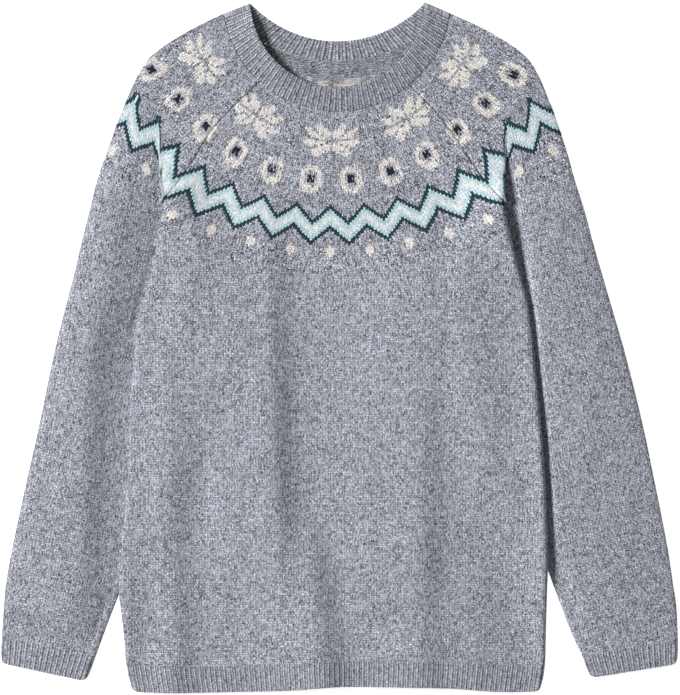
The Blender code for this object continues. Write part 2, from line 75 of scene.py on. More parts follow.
# A sleeve's rows from the neck to the cuff, with its front edge, which is the raglan seam and
# then the inner fold, and its fold over the arm. Columns: front x, front y, over x, over y.
SLEEVE_LEFT = with_back_edge(
    (
        (-83.0, 279.1, -121.2, 351.2),
        (-109.2, 254.6, -160.7, 331.3),
        (-134.4, 227.3, -201.6, 301.9),
        (-153.3, 195.8, -225.8, 254.6),
        (-170.1, 171.7, -241.5, 212.6),
        (-184.8, 147.5, -254.1, 175.9),
        (-165.9, 119.2, -262.5, 142.3),
        (-150.2, 89.8, -270.4, 110.8),
        (-141.8, 49.9, -279.8, 70.9),
        (-142.8, 7.9, -290.3, 31.0),
        (-153.3, -39.4, -300.8, -13.1),
        (-175.3, -107.6, -315.0, -81.4),
        (-198.5, -170.6, -328.7, -142.3),
        (-218.4, -224.2, -341.8, -203.2),
        (-231.0, -258.8, -349.7, -246.2),
        (-243.6, -291.4, -352.3, -272.5),
        (-255.5, -324.0, -354.5, -303.6),
    ),
    ((-93.5, 328.7), (-107.1, 291.4), (-126.0, 253.6)),
)
SLEEVE_RIGHT = with_back_edge(
    (
        (74.5, 275.4, 117.0, 351.2),
        (101.9, 247.3, 158.6, 331.3),
        (121.8, 221.0, 199.5, 301.9),
        (140.7, 192.7, 222.6, 254.6),
        (157.5, 169.6, 237.3, 212.6),
        (174.3, 147.5, 247.8, 175.9),
        (156.5, 117.1, 258.3, 142.3),
        (142.8, 86.6, 266.7, 110.8),
        (135.5, 47.8, 278.2, 70.9),
        (138.6, 2.6, 289.8, 31.0),
        (149.1, -46.7, 302.4, -13.1),
        (172.2, -113.9, 319.2, -81.4),
        (194.2, -170.6, 331.8, -142.3),
        (212.1, -215.8, 343.9, -203.2),
        (225.8, -251.5, 350.7, -246.2),
        (240.5, -291.4, 354.4, -272.5),
        (255.0, -324.0, 356.1, -307.0),
    ),
    ((89.2, 328.7), (102.9, 291.4), (121.8, 253.6)),
)

# The crease where the yoke folds over each sleeve, and below the underarm the body's sides.
# Columns: y, left x, right x.
SIDES = (
    (240.0, -188.0, 173.2),
    (192.0, -188.0, 174.3),
    (147.5, -184.8, 174.3),
    (121.3, -189.5, 179.6),
    (95.0, -193.2, 185.8),
    (62.5, -201.6, 194.2),
    (38.3, -208.4, 199.5),
    (7.9, -213.2, 203.2),
    (-43.6, -218.4, 208.4),
    (-86.6, -220.0, 212.6),
    (-130.7, -221.6, 215.8),
    (-181.1, -225.8, 218.4),
    (-223.1, -228.9, 219.5),
    (-254.6, -231.0, 218.4),
    (-296.6, -226.8, 217.4),
    (-332.3, -223.7, 216.3),
    (-360.7, -218.4, 212.1),
)
UNDERARM_Y = 147.5
HEM_SEAM_Y = -332.3
PUFF_WIDTH = 18.0
PUFF_RISE = 30.0
# How far the front stands up along the body's sides. Columns: y, left, right.
PUFFS = (
    (150.0, 1.2, 3.8),
    (90.0, 1.2, 3.4),
    (40.0, 1.2, 2.2),
    (-20.0, 1.2, 2.6),
    (-90.0, 1.2, 4.6),
    (-200.0, 1.2, 4.6),
    (-270.0, 1.2, 2.6),
    (-330.0, 1.2, 1.2),
)
HEM_REACH = 130.0
HEM_SHIFT_BELOW = -52.5
# The hem's uneven lower line. Columns: x, y.
HEM = (
    (-218.4, -361.4),
    (-177.5, -362.8),
    (-104.0, -361.7),
    (-51.5, -360.2),
    (1.1, -356.5),
    (64.0, -357.0),
    (116.6, -358.1),
    (169.1, -361.7),
    (212.1, -361.0),
)
HEM_MEAN_Y = -360.0
NECK_CENTRE = (-2.1, 368.0)
NECK_FRONT_RADIUS = 120.2
NECK_BACK_RADIUS = 167.8

FOLD_FADE = 90.0
# Soft folds of the front, from an upper to a lower end of each crest. Columns: upper x and y,
# lower x and y, width on the left, width on the right, height.
FOLDS = (
    (-78.0, 140.0, -70.0, -240.0, 58.0, 20.0, 5.0),
    (-78.0, 40.0, -64.0, -235.0, 60.0, 22.0, 3.6),
    (-36.0, -190.0, -12.0, -400.0, 44.0, 20.0, 7.6),
    (86.0, 130.0, 84.0, -230.0, 62.0, 22.0, 6.2),
    (83.0, -185.0, 84.0, -400.0, 50.0, 22.0, 6.5),
    (130.0, 120.0, 128.0, -400.0, 30.0, 48.0, 2.8),
    (-186.0, 0.0, -172.0, -270.0, 24.0, 21.0, 3.8),
    (-176.0, -240.0, -172.0, -400.0, 26.0, 18.0, 4.8),
    (170.0, 196.0, 178.0, 110.0, 34.0, 30.0, 4.5),
    (-158.0, 130.0, -166.0, -10.0, 22.0, 19.0, 2.8),
    (20.0, -120.0, 34.0, -300.0, 34.0, 18.0, 1.6),
    (-128.0, -40.0, -118.0, -250.0, 26.0, 16.0, 1.4),
)


def step(value):
    """Smooth rise from 0 to 1."""
    value = np.clip(value, 0.0, 1.0)
    return value * value * (3.0 - 2.0 * value)


def along_table(rows, t):
    """Catmull-Rom value of a table at t, where row i lies at t = i."""
    rows = np.array(rows)
    last = len(rows) - 1
    i = min(int(t), last - 1)
    f = t - i
    b = rows[i]
    c = rows[i + 1]
    a = rows[i - 1] if i else 2 * b - c
    d = rows[i + 2] if i + 2 <= last else 2 * c - b
    bend = 2 * a - 5 * b + 4 * c - d + f * (3 * (b - c) + d - a)
    return b + 0.5 * f * (c - a + f * bend)


def column_at(rows, key, column, at=0):
    """Smooth values of one column where the key column (at) has these values."""
    table = np.array(rows)[:, (at, column)]
    keys, values = table[np.argsort(table[:, 0])].T
    key = np.clip(key, keys[0], keys[-1])
    far = np.append(np.arange(1, len(keys)), len(keys) - 1)
    near = np.insert(np.arange(len(keys) - 1), 0, 0)
    slopes = (values[far] - values[near]) / (keys[far] - keys[near])
    i = np.clip(np.searchsorted(keys, key, side="right") - 1, 0, len(keys) - 2)
    span = keys[i + 1] - keys[i]
    f = (key - keys[i]) / span
    level = (1 + 2 * f) * (1 - f) ** 2 * values[i] + f * f * (3 - 2 * f) * values[i + 1]
    return level + span * f * (1 - f) * ((1 - f) * slopes[i] - f * slopes[i + 1])


def arc_shape(chord, bow):
    """Radius of an arc and half its angle."""
    radius = (chord * chord / 4 + bow * bow) / (2 * bow)
    return radius, math.asin(min(1.0, chord / 2 / radius))


def bowed(start, end, bow, u, centre=NECK_CENTRE):
    """Points at fractions u of an arc from start to end that bows away from a centre."""
    dx = end[0] - start[0]
    dy = end[1] - start[1]
    chord = math.hypot(dx, dy)
    if bow < 0.001:
        return start[0] + u * dx, start[1] + u * dy
    radius, half = arc_shape(chord, bow)
    along = radius * np.sin((2 * u - 1) * half)
    out = radius * np.cos((2 * u - 1) * half) - radius + bow
    mid = ((start[0] + end[0]) / 2, (start[1] + end[1]) / 2)
    side = -dy * (mid[0] - centre[0]) + dx * (mid[1] - centre[1])
    turn = math.copysign(1.0, side)
    x = mid[0] + (along * dx - turn * out * dy) / chord
    y = mid[1] + (along * dy + turn * out * dx) / chord
    return x, y


def sagitta(radius, chord):
    return radius - math.sqrt(radius * radius - chord * chord / 4)


def on_arm(x, y, ramp=RAMP):
    """Height of the back panel's underside: it lies on the table and on the tucked sleeves."""
    best = np.zeros_like(x)
    for rows, sign in ((SLEEVE_LEFT, 1.0), (SLEEVE_RIGHT, -1.0)):
        above = np.hypot(x - rows[UNDERARM][0], y - UNDERARM_Y)
        below = sign * (x - column_at(rows[UNDERARM:], y, 0, 1))
        away = np.where(y > UNDERARM_Y, above, below)
        best = np.maximum(best, BODY_ON_ARM * step(1.0 - (away - 1.0) / ramp))
    return best


def crest(x, y, x0, y0, x1, y1, left_width, right_width, height):
    """Height of one long fold at these points."""
    along = (y0 - y) / (y0 - y1)
    off = x - x0 - (x1 - x0) * along
    off = off / np.where(off < 0, left_width, right_width)
    length = (y0 - y1) / FOLD_FADE
    ends = step(along * length + 0.4) * step((1 - along) * length + 0.4)
    return height * np.exp(-off * off) * ends


def front_top(x, y):
    """Height of the front layer's upper surface over the body and the yoke."""
    height = FRONT_TOP + on_arm(x, y, FRONT_RAMP)
    for rows, column in ((SLEEVE_LEFT, 1), (SLEEVE_RIGHT, 2)):
        away = np.hypot(x - rows[UNDERARM][0], y - UNDERARM_Y)
        height = height + UNDERARM_LIFT * step(1.0 - away / UNDERARM_REACH)
        edge = np.abs(x - column_at(SIDES, y, column))
        puff = column_at(PUFFS, y, column) * np.exp(-((edge / PUFF_WIDTH) ** 2))
        height = height + puff * step((UNDERARM_Y + 8 - y) / PUFF_RISE)
    for fold in FOLDS:
        height = height + crest(x, y, *fold)
    return height


FOLD_TURNS = np.radians((90.0, 76.0, 62.0, 48.0, 34.0, 18.0, 0.0))
FLAT_STEPS = np.array((0.0, 0.08, 0.18, 0.31, 0.48, 0.7, 1.0))


def fold_columns(curl, inset=FOLD_INSET, inner=False, gap=SEAM):
    """Insets and drops of a section's last points, from its edge inwards.

    With curl 1 they turn through a quarter of an ellipse and with curl 0 they stay flat.
    """
    least = WALL if inner else 0.0
    turned = least + (inset - least) * (1 - np.sin(FOLD_TURNS))
    into = (1 - curl) * (gap + inset * FLAT_STEPS) + curl * turned
    return into, curl * (1 - np.cos(FOLD_TURNS))


def edge_to_edge(first, flat, last, length):
    """Places and drops of a row's points between two edges' insets and drops."""
    along = np.concatenate((first[0], flat, length - last[0][::-1]))
    return along, np.concatenate((first[1], 0 * flat, last[1][::-1]))


def groove(into, curl):
    """How far the cloth rolls down beside a linked seam."""
    return GROOVE_DEPTH * np.exp(-((into / GROOVE_WIDTH) ** 2)) * (1 - curl)


def hem_shift(x, y, low):
    """How far a row moves so that the body ends in the hem's uneven line."""
    wave = column_at(HEM, x, 1) - HEM_MEAN_Y
    return wave * (1.0 if low else 0.8 * step((HEM_SEAM_Y + HEM_REACH - y) / HEM_REACH))


CURL_FROM = 4.5


def seam_curl(t):
    """How far the cloth beside a raglan seam is folded down: fully at the underarm."""
    return float(step((t - CURL_FROM) / (UNDERARM - CURL_FROM)))


def bow_left(t):
    """Share of the neck's roundness that is left in a row."""
    return max(0.0, 1 - t / UNDERARM) ** 1.3


def seam_distance(into, y):
    """Distance from the raglan seam for its shade, and far away where the seam doesn't show."""
    return into + FAR_FROM_SEAM * float(step((SEAM_SHOWS_TO - y) / 20))


def side_row(y):
    """A row of the body below the underarm."""
    return (float(column_at(SIDES, y, 1)), y), (float(column_at(SIDES, y, 2)), y), 0.0, 1.0


def body_rows(back, yoke_rows, heights):
    """Ends, bow and curl of each row of a body panel."""
    rows = []
    for t in np.linspace(0.0, UNDERARM, yoke_rows):
        left = along_table(SLEEVE_LEFT, t)
        right = along_table(SLEEVE_RIGHT, t)
        first = 4 if back else 0
        start = tuple(left[first : first + 2])
        end = tuple(right[first : first + 2])
        if t == 0.0:
            radius = NECK_BACK_RADIUS if back else NECK_FRONT_RADIUS
            first_bow = sagitta(radius, math.dist(start, end))
        rows.append((start, end, first_bow * bow_left(t), seam_curl(t)))
    return rows + [side_row(y) for y in heights]


def body_section(row, back, flat_columns, first=False, low=None):
    """Outer and inner points of one row of a body panel or of its rib.

    low is how far above the lower edge a row of the rib lies.
    """
    start, end, bow, curl = row
    length = math.dist(start, end)
    inset = FOLD_INSET + SEAM
    x, y = bowed(start, end, bow, np.array((inset / length, 1 - inset / length)))
    levels = (front_top(x, y) + on_arm(x, y)) / 2
    flat = np.linspace(inset, length - inset, flat_columns + 2)[1:-1]
    nets = []
    for inner in (False, True):
        edge = fold_columns(curl, inner=inner)
        along, drops = edge_to_edge(edge, flat, edge, length)
        x, y = bowed(start, end, bow, along / length)
        level = np.where(along < length / 2, levels[0], levels[1])
        near = np.minimum(along, length - along)
        if back:
            z = on_arm(x, y) + (WALL if inner else 0.0)
            z = z + (level - SEAM - z) * drops
        else:
            z = front_top(x, y) - (WALL if inner else 0.0) - groove(near, curl)
            z = z + (level + SEAM - z) * drops
        if first:
            y = y - SEAM
        if start[1] < HEM_SHIFT_BELOW:
            y = y + hem_shift(x, y, low is not None)
        if low is not None:
            corner = np.minimum(near, CORNER)
            lift = CORNER - np.sqrt(CORNER**2 - (CORNER - corner) ** 2)
            y = y + lift * (1 - min(low / (2 * CORNER), 1.0))
        nets.append(np.stack((x, y, z, seam_distance(near, start[1])), axis=1))
    return nets


# The yoke's pattern lies on circles round this point. On the sleeves, past the crease, the
# cloth hangs down from the zigzag's upper edge and its wales fan out from a point of its own.
YOKE_CENTRE = (-5.25, 394.3)
YOKE_TURN = 0.85
BACK_YOKE_CENTRE = (-2.1, 446.5)
BASE_RADIUS = 244.7
FAN_CENTRES = ((-151.6, 389.4), (138.4, 389.4))
FAN_START = 49.2
FAN_FIRST = 14.0
FAN_RATE = 1.4
# Columns: angle, drop on the left, drop on the right, pull.
HANG = (
    (49.2, 2.4, 0.0, 0.95),
    (53.3, 4.8, 0.8, 0.90),
    (57.4, 5.8, 0.6, 0.83),
    (61.5, 6.3, 8.4, 0.80),
    (75.0, 6.3, 8.4, 0.80),
)
# How far out of round the bands are, at angles from the middle of the front. Columns: angle,
# at the stars, at the rings, at the zigzag, at the dots.
BEND_RADII = (168.0, 214.0, 243.0, 293.0)
BEND = (
    (0.0, -1.6, 1.3, -1.0, 1.0),
    (16.0, 2.4, 2.7, -1.0, -1.1),
    (27.0, 5.6, 5.0, -0.2, -6.5),
    (40.0, 8.8, 9.3, 1.6, -17.0),
    (50.0, 10.8, 8.6, 4.8, -11.0),
    (62.0, 12.0, 2.0, -1.0, -11.0),
    (180.0, 12.0, 0.0, -1.0, -11.0),
)


def out_of_round(angle, radius):
    levels = [column_at(BEND, np.abs(angle), k) for k in range(1, 5)]
    found = levels[0]
    for k in range(3):
        part = np.clip((radius - BEND_RADII[k]) / (BEND_RADII[k + 1] - BEND_RADII[k]), 0, 1)
        found = found + (levels[k + 1] - levels[k]) * part
    return found


def round_map(x, y, centre=YOKE_CENTRE):
    """Angle in degrees and radius in millimetres of points of the yoke."""
    angle = np.degrees(np.arctan2(x - centre[0], centre[1] - y))
    radius = np.hypot(x - centre[0], y - centre[1])
    return angle + YOKE_TURN, radius


def front_yoke(x, y):
    angle, radius = round_map(x, y)
    return angle, radius + out_of_round(angle, radius)


def back_yoke(x, y):
    return round_map(x, y, BACK_YOKE_CENTRE)


def sleeve_yoke(x, y, side):
    """The yoke's map on a sleeve: past the crease it follows the hanging cloth."""
    angle, radius = front_yoke(x, y)
    column = 1 if side < 0 else 2
    fan = FAN_CENTRES[column - 1]
    lean = np.degrees(np.arctan2(side * (x - fan[0]), fan[1] - y))
    hung = side * (FAN_START + (lean - FAN_FIRST) / FAN_RATE)
    base = BASE_RADIUS - column_at(BEND, np.abs(hung), 3)
    base = base + column_at(HANG, np.abs(hung), column)
    pull = column_at(HANG, np.abs(hung), 3)
    turn = np.radians(hung - YOKE_TURN)
    below = np.hypot(
        x - YOKE_CENTRE[0] - base * np.sin(turn), y - YOKE_CENTRE[1] + base * np.cos(turn)
    )
    crease = side * (x - column_at(SIDES, y, column))
    share = step((crease + 1.5) / 3.0) * step((radius - BASE_RADIUS) / 4.0 + 1.0)
    share = np.where(y < UNDERARM_Y, 1.0, share)
    return (
        angle + (hung - angle) * share,
        radius + (BASE_RADIUS + pull * below - radius) * share,
    )


def straight_map(x, y, down=(0.0, -1.0)):
    """Wale and course of points of a panel whose wales run along a direction."""
    wale = (x * -down[1] + y * down[0]) / WALE
    return wale, -(x * down[0] + y * down[1]) / COURSE


def folded_away(net, middle):
    """How many stitches more each row has than it shows from above, from a middle column."""
    whole = np.linalg.norm(np.diff(net, axis=1), axis=2)
    seen = np.linalg.norm(np.diff(net[..., :2], axis=1), axis=2)
    more = np.insert(np.cumsum(whole - seen, axis=1), 0, 0.0, axis=1)
    return (more - more[:, middle : middle + 1]) / WALE


# Painted shade and painted light on a fold's rim: its colour is a little darker on the left,
# where the rim faces the lamp, and a little lighter on the right, where it faces away from it.
RIM_WIDTH = 4.2
RIM_PAINTED_SHADE_AND_LIGHT = 0.36
BODY_RIM_PAINTED_SHADE_AND_LIGHT = 0.55


# Where the painted rim shade and light lie along a fold's edge.
def turned(net, column):
    """1 along a fold's edge, which is this column of the net, and 0 a few millimetres away."""
    away = np.linalg.norm(net[..., :2] - net[:, column : column + 1 or None, :2], axis=2)
    return np.exp(-((away / RIM_WIDTH) ** 2))


def link(piece_mesh, name):
    made = bpy.data.objects.new(name, piece_mesh)
    bpy.context.scene.collection.objects.link(made)
    return made


def loft(name, outer, inner, maps, materials, ring=False, joined_from=None, values=None):
    """Closed wall between an outer and an inner net of points.

    ring joins the last column to the first, and joined_from does so only from that row on.
    maps holds each UV map's values for the outer net, and values each point attribute's.
    """
    rows, columns = outer.shape[:2]
    count = rows * columns
    spots = np.concatenate((outer.reshape(-1, 3), inner.reshape(-1, 3)))
    spots = (spots - (CENTRE_X, 0.0, 0.0)) * MM
    if ring:
        joined_from = 0
    index = np.arange(count).reshape(rows, columns)
    wrapped = np.concatenate((index, index[:, :1]), axis=1)
    skin = np.stack((wrapped[:-1, :-1], wrapped[1:, :-1], wrapped[1:, 1:], wrapped[:-1, 1:]), 2)
    closed_from = rows if joined_from is None else joined_from
    keep = np.ones(skin.shape[:2], bool)
    keep[:closed_from, -1] = False
    skin = skin[keep]
    lining = skin[:, ::-1] + count
    edges = [index[: closed_from + 1, column] for column in (0, columns - 1)]
    for row in (0, rows - 1):
        wraps = ring or (row > 0 and joined_from is not None)
        edges.append(wrapped[row] if wraps else index[row])
    walls = [np.stack((e[:-1], e[1:], e[1:] + count, e[:-1] + count), 1) for e in edges]
    if joined_from:
        first, last = index[joined_from, 0], index[joined_from, -1]
        walls.append(np.array([[first, last, last + count, first + count]]))
    faces = np.concatenate([skin, lining] + walls)
    mesh = bpy.data.meshes.new(name)
    mesh.from_pydata(spots.tolist(), [], faces.tolist())
    inside = np.zeros(len(faces), np.int32)
    inside[len(skin) : len(skin) + len(lining)] = len(materials) - 1
    mesh.polygons.foreach_set("material_index", inside)
    for finish in materials:
        mesh.materials.append(finish)
    solid = bmesh.new()
    solid.from_mesh(mesh)
    bmesh.ops.recalc_face_normals(solid, faces=solid.faces)
    solid.to_mesh(mesh)
    solid.free()
    corners = np.zeros(len(mesh.loops), np.int32)
    mesh.loops.foreach_get("vertex_index", corners)
    for map_name, (across, along) in maps.items():
        flat = np.stack((across.ravel(), along.ravel()), 1)
        flat = np.concatenate((flat, flat))
        layer = mesh.uv_layers.new(name=map_name)
        layer.data.foreach_set("uv", flat[corners].astype(np.float32).ravel())
    for value_name, (outside, underside) in (values or {}).items():
        attribute = mesh.attributes.new(value_name, "FLOAT", "POINT")
        both = np.concatenate((outside.ravel(), underside.ravel()))
        attribute.data.foreach_set("value", both.astype(np.float32))
    mesh.shade_smooth()
    mesh.set_sharp_from_angle(angle=math.radians(60))
    return link(mesh, name)


def net_area(net):
    """Area of a net of points, in square metres."""
    a = net[1:, 1:] - net[:-1, :-1]
    b = net[1:, :-1] - net[:-1, 1:]
    return float(np.linalg.norm(np.cross(a, b), axis=2).sum() / 2 * MM * MM)


class Wire:
    """A number in a node tree, with the usual arithmetic."""

    def __init__(self, tree, socket):
        self.tree = tree
        self.socket = socket

    def math(self, operation, *others):
        node = self.tree.nodes.new("ShaderNodeMath")
        node.operation = operation
        fill(self.tree, node, enumerate((self, *others)))
        return Wire(self.tree, node.outputs[0])

    def __add__(self, other):
        return self.math("ADD", other)

    def __sub__(self, other):
        return self.math("SUBTRACT", other)

    def __rsub__(self, other):
        return self * -1.0 + other

    def __mul__(self, other):
        return self.math("MULTIPLY", other)

    def __truediv__(self, other):
        return self.math("DIVIDE", other)

    def over(self, other):
        return self.math("GREATER_THAN", other)

    def under(self, other):
        return self.math("LESS_THAN", other)

    def within(self, middle, reach):
        return self.math("COMPARE", middle, reach)

    def most(self, other):
        return self.math("MAXIMUM", other)

    def power(self, other):
        return self.math("POWER", other)

    def size(self):
        return self.math("ABSOLUTE")

    def whole(self):
        return self.math("FLOOR")

    def part(self):
        return self.math("FRACT")

    def wrapped(self, period):
        """The whole number nearest to zero that differs from this one by whole periods."""
        return self - (self / period + 0.5).whole() * period


def plug(tree, value, slot):
    """Sets an input to a number or a colour, or links it to a socket."""
    if isinstance(value, Wire):
        value = value.socket
    if isinstance(value, bpy.types.NodeSocket):
        tree.links.new(value, slot)
    else:
        slot.default_value = value


def fill(tree, node, inputs):
    """Gives a node's inputs, by name or number, their values."""
    for slot, value in dict(inputs).items():
        plug(tree, value, node.inputs[slot])


def added(tree, kind, inputs=(), output=0):
    """An output of a new node with these inputs."""
    node = tree.nodes.new(kind)
    fill(tree, node, inputs)
    return node.outputs[output]


def linear(red, green, blue):
    """Linear colour of a yarn given as it looks on a screen, from 0 to 255."""
    found = []
    for level in (red, green, blue):
        level /= 255.0
        found.append(level / 12.92 if level < 0.04045 else ((level + 0.055) / 1.055) ** 2.4)
    return (*found, 1.0)


def blended(tree, share, below, above, kind="MIX"):
    """Colour between two colours or sockets."""
    node = tree.nodes.new("ShaderNodeMix")
    node.data_type = "RGBA"
    node.blend_type = kind
    fill(tree, node, {0: share, 6: below, 7: above})
    return node.outputs[2]


def tinted(tree, tint, level):
    """A colour made lighter or darker by a number."""
    return blended(tree, 1.0, tint, vector(tree, level, level, level), "MULTIPLY")


def new_finish(name):
    """A material, with its node tree and its shader."""
    made = bpy.data.materials.new(name)
    made.use_nodes = True
    return made, made.node_tree, made.node_tree.nodes["Principled BSDF"]


def map_wires(tree, name):
    """The two numbers of one of a piece's UV maps."""
    source = tree.nodes.new("ShaderNodeUVMap")
    source.uv_map = name
    parts = tree.nodes.new("ShaderNodeSeparateXYZ")
    fill(tree, parts, {0: source.outputs[0]})
    return Wire(tree, parts.outputs[0]), Wire(tree, parts.outputs[1])


def vector(tree, *parts):
    return added(tree, "ShaderNodeCombineXYZ", enumerate(parts))


def number_of(tree, name):
    """A number that a piece keeps for each of its points."""
    node = tree.nodes.new("ShaderNodeAttribute")
    node.attribute_name = name
    return Wire(tree, node.outputs["Fac"])


def speckle(tree, *place):
    """A random number from 0 to 1 for each whole place."""
    node = tree.nodes.new("ShaderNodeTexWhiteNoise")
    node.noise_dimensions = "3D"
    fill(tree, node, {"Vector": vector(tree, *place)})
    return Wire(tree, node.outputs["Value"])


def cloudy(tree, place, scale, detail):
    """Soft noise round 0, within about half a unit."""
    inputs = {"Scale": scale, "Detail": detail, "Vector": place}
    return Wire(tree, added(tree, "ShaderNodeTexNoise", inputs)) - 0.5


SLANT = 0.5  # how many rows a stitch's leg rises from the middle of its V to the side

HEATHER = linear(160, 163, 173)
CREAM = linear(232, 226, 220)
LIGHT_BLUE = linear(181, 208, 215)
PALE = linear(222, 222, 223)
TEAL = linear(29, 55, 66)
NAVY = linear(27, 30, 42)


def stitch(wale, course):
    """The V-shaped stitch at a place of the knit: its column, row, leg and relief."""
    across = (wale.part() - 0.5).size()
    rise = course + SLANT / 2 - across * (2 * SLANT)
    leg = rise.part()
    shape = leg * (1.0 - leg) * 3.2 + 0.2
    body = (0.57 - across) * (across + 0.2) * 6.9
    relief = (shape * body).power(0.6)
    return wale.whole(), rise.whole(), wale.part().over(0.5), relief


def yarn_mix(tree, column, row, leg, wale, course, marl):
    """How light the heathered yarn is at a place, round 1."""
    legs = speckle(tree, column + leg * 0.5, row, 0.25) - 0.5
    stitches = speckle(tree, column, row, 0.75) - 0.5
    streak = cloudy(tree, vector(tree, wale * 0.4, course * 0.5), 1.0, 1.0)
    fibre = cloudy(tree, vector(tree, wale * 2.1, course * 1.8, 3.0), 1.0, 1.0)
    patch = cloudy(tree, added(tree, "ShaderNodeTexCoord", output="Object"), 70.0, 2.0)
    mixed = legs * 1.15 + stitches * 0.3 + streak * 0.9 + fibre * 4.4 + patch * 0.6
    return (mixed * marl + 1.0).most(0.06)


# Spans of stitches of the eight-petalled star, on both sides of its middle wale. Columns: row
# counted up from its middle, first wale, last wale.
STAR = (
    (7, 5, 5),
    (6, 4, 6),
    (5, 2, 6),
    (4, 1, 5),
    (4, 9, 11),
    (3, 1, 5),
    (3, 7, 10),
    (2, 1, 3),
    (2, 5, 9),
    (1, 1, 1),
    (1, 3, 8),
    (-1, 1, 1),
    (-1, 3, 10),
    (-2, 1, 3),
    (-2, 5, 11),
    (-3, 1, 5),
    (-3, 7, 9),
    (-4, 1, 6),
    (-5, 2, 7),
    (-6, 4, 7),
    (-7, 5, 6),
)
STAR_WALES = 33
STAR_RATE = 1.2  # wales for each degree
STAR_RADIUS = 176.8
RING_WALES = 17
RING_RATE = 1.5315
RING_ROW = -17
PEAK_WALES = 14
PEAK_RATE = 1.7073
PEAK_ROW = -27
DOT_ROW = -47
RING_BAND_FROM = 195.3
PEAK_BAND_FROM = 238.0
YOKE_END = 318.0


def yoke_masks(column, row, radius, mixed):
    """How much of each yarn of the yoke's pattern shows, by column and row of its band."""
    low_band = radius.over(PEAK_BAND_FROM)
    mid_band = radius.over(RING_BAND_FROM) * radius.under(PEAK_BAND_FROM)
    top_band = radius.under(RING_BAND_FROM)
    aside = column.wrapped(STAR_WALES).size()
    star = None
    for k, first, last in STAR:
        middle, reach = (first + last) / 2, (last - first) / 2 + 0.3
        span = row.within(float(k), 0.3) * aside.within(middle, reach)
        star = span if star is None else star + span
    star = star * top_band
    aside = (column + RING_WALES // 2).wrapped(RING_WALES).size()
    up = (row - RING_ROW).size()
    eight_sided = (aside / 4.5).most(up / 5.0).most((aside + up) / 7.2)
    ring = (eight_sided + mixed * 0.15).over(0.66) * (eight_sided - mixed * 0.2).under(0.92)
    ring = ring * mid_band
    heart = (aside - up).size().under(0.5) * aside.under(1.5)
    heart = (heart + (aside + up).within(1.0, 0.3) * mixed.over(0.25)) * mid_band
    aside = column.wrapped(PEAK_WALES).size()
    depth = PEAK_ROW - row - aside
    edge = (depth.within(0.5, 0.7) + depth.within(9.5, 0.7)) * low_band
    blue = depth.within(5.0, 3.2) * low_band
    pale = depth.within(5.0, 1.2) * low_band * (mixed * 0.35 + 0.6)
    up = row - DOT_ROW
    dot = aside.under(1.5) * up.within(0.0, 1.3) + aside.under(0.5) * up.size().within(2.0, 0.3)
    dot = dot * low_band
    cream = star * mixed.over(0.07) + ring * mixed.over(0.1) + dot
    return {"cream": cream * 0.92, "navy": heart, "teal": edge, "blue": blue, "pale": pale}


def knit_material(name, marl=0.78, painted_gap_shade_level=0.08, shade=1.24):
    """Stocking stitch in heathered yarn, seen on its right side."""
    made, tree, shader = new_finish(name)
    wale, course = map_wires(tree, "stitches")
    angle, radius = map_wires(tree, "yoke")
    yoke = radius.under(YOKE_END)
    rate = radius.over(RING_BAND_FROM) * (RING_RATE - STAR_RATE) + STAR_RATE
    rate = rate + radius.over(PEAK_BAND_FROM) * (PEAK_RATE - RING_RATE)
    rings = radius.over(RING_BAND_FROM) * radius.under(PEAK_BAND_FROM)
    round_wale = angle * rate + 0.5 + rings * 0.5
    round_course = (STAR_RADIUS - radius) / COURSE + 0.5
    wale = wale + (round_wale - wale) * yoke
    course = course + (round_course - course) * yoke
    uneven = vector(tree, wale * 0.45, course * 0.5, 7.0)
    wale = wale + cloudy(tree, uneven, 1.0, 1.0) * 0.8
    course = course + cloudy(tree, uneven, 1.4, 1.0) * 1.0
    column, row, leg, relief = stitch(wale, course)
    light = yarn_mix(tree, column, row, leg, wale, course, marl)
    light = ((light - 1.0) * (yoke * 0.25 + 1.0) + 1.0).most(0.05)
    # Painted shade between the stitches: where the relief is 0 the colour falls to the gap
    # level; the yoke's ground is a little darker and shade sets the overall level.
    tone_and_painted_shade = (relief * (1.0 - painted_gap_shade_level) + painted_gap_shade_level) * (1.0 - yoke * 0.05) * shade
    grey = tinted(tree, HEATHER, light)
    mixed = speckle(tree, column + leg * 0.5, row, 0.4)
    masks = yoke_masks(column, row, radius, mixed)
    soft = (light - 1.0) * 0.34 + 1.0
    for yarn, tint in (
        ("cream", CREAM),
        ("navy", NAVY),
        ("teal", TEAL),
        ("blue", LIGHT_BLUE),
        ("pale", PALE),
    ):
        grey = blended(tree, masks[yarn] * yoke, grey, tinted(tree, tint, soft))
    # Painted shade along the raglan seams: up to 40 % darker within about a millimetre of a
    # seam.
    seam = ((1.1 - number_of(tree, "from_seam")) / 0.8).most(0.0).math("MINIMUM", 1.0)
    # The dyed yarns get less of the painted stitch shade.
    calm = masks["cream"] * 0.3 + masks["teal"] * 0.3 + masks["blue"] * 0.5 + masks["pale"] * 0.6
    tone_and_painted_shade = tone_and_painted_shade + (0.8 * shade - tone_and_painted_shade) * (calm * yoke)
    tone_and_painted_shade = tone_and_painted_shade * (1.0 - seam * 0.4)
    tone_and_painted_shade = with_painted_rim_shade_and_light(tree, tone_and_painted_shade)
    finish_wool(tree, shader, tinted(tree, grey, tone_and_painted_shade), relief)
    return made


# Painted shade where "turned" is above 0 and painted light where it is below 0, on the rims of
# folds.
def with_painted_rim_shade_and_light(tree, tone_and_painted_shade):
    return tone_and_painted_shade * (1.0 - number_of(tree, "turned") * RIM_PAINTED_SHADE_AND_LIGHT)


STITCH_DEPTH = 0.0007


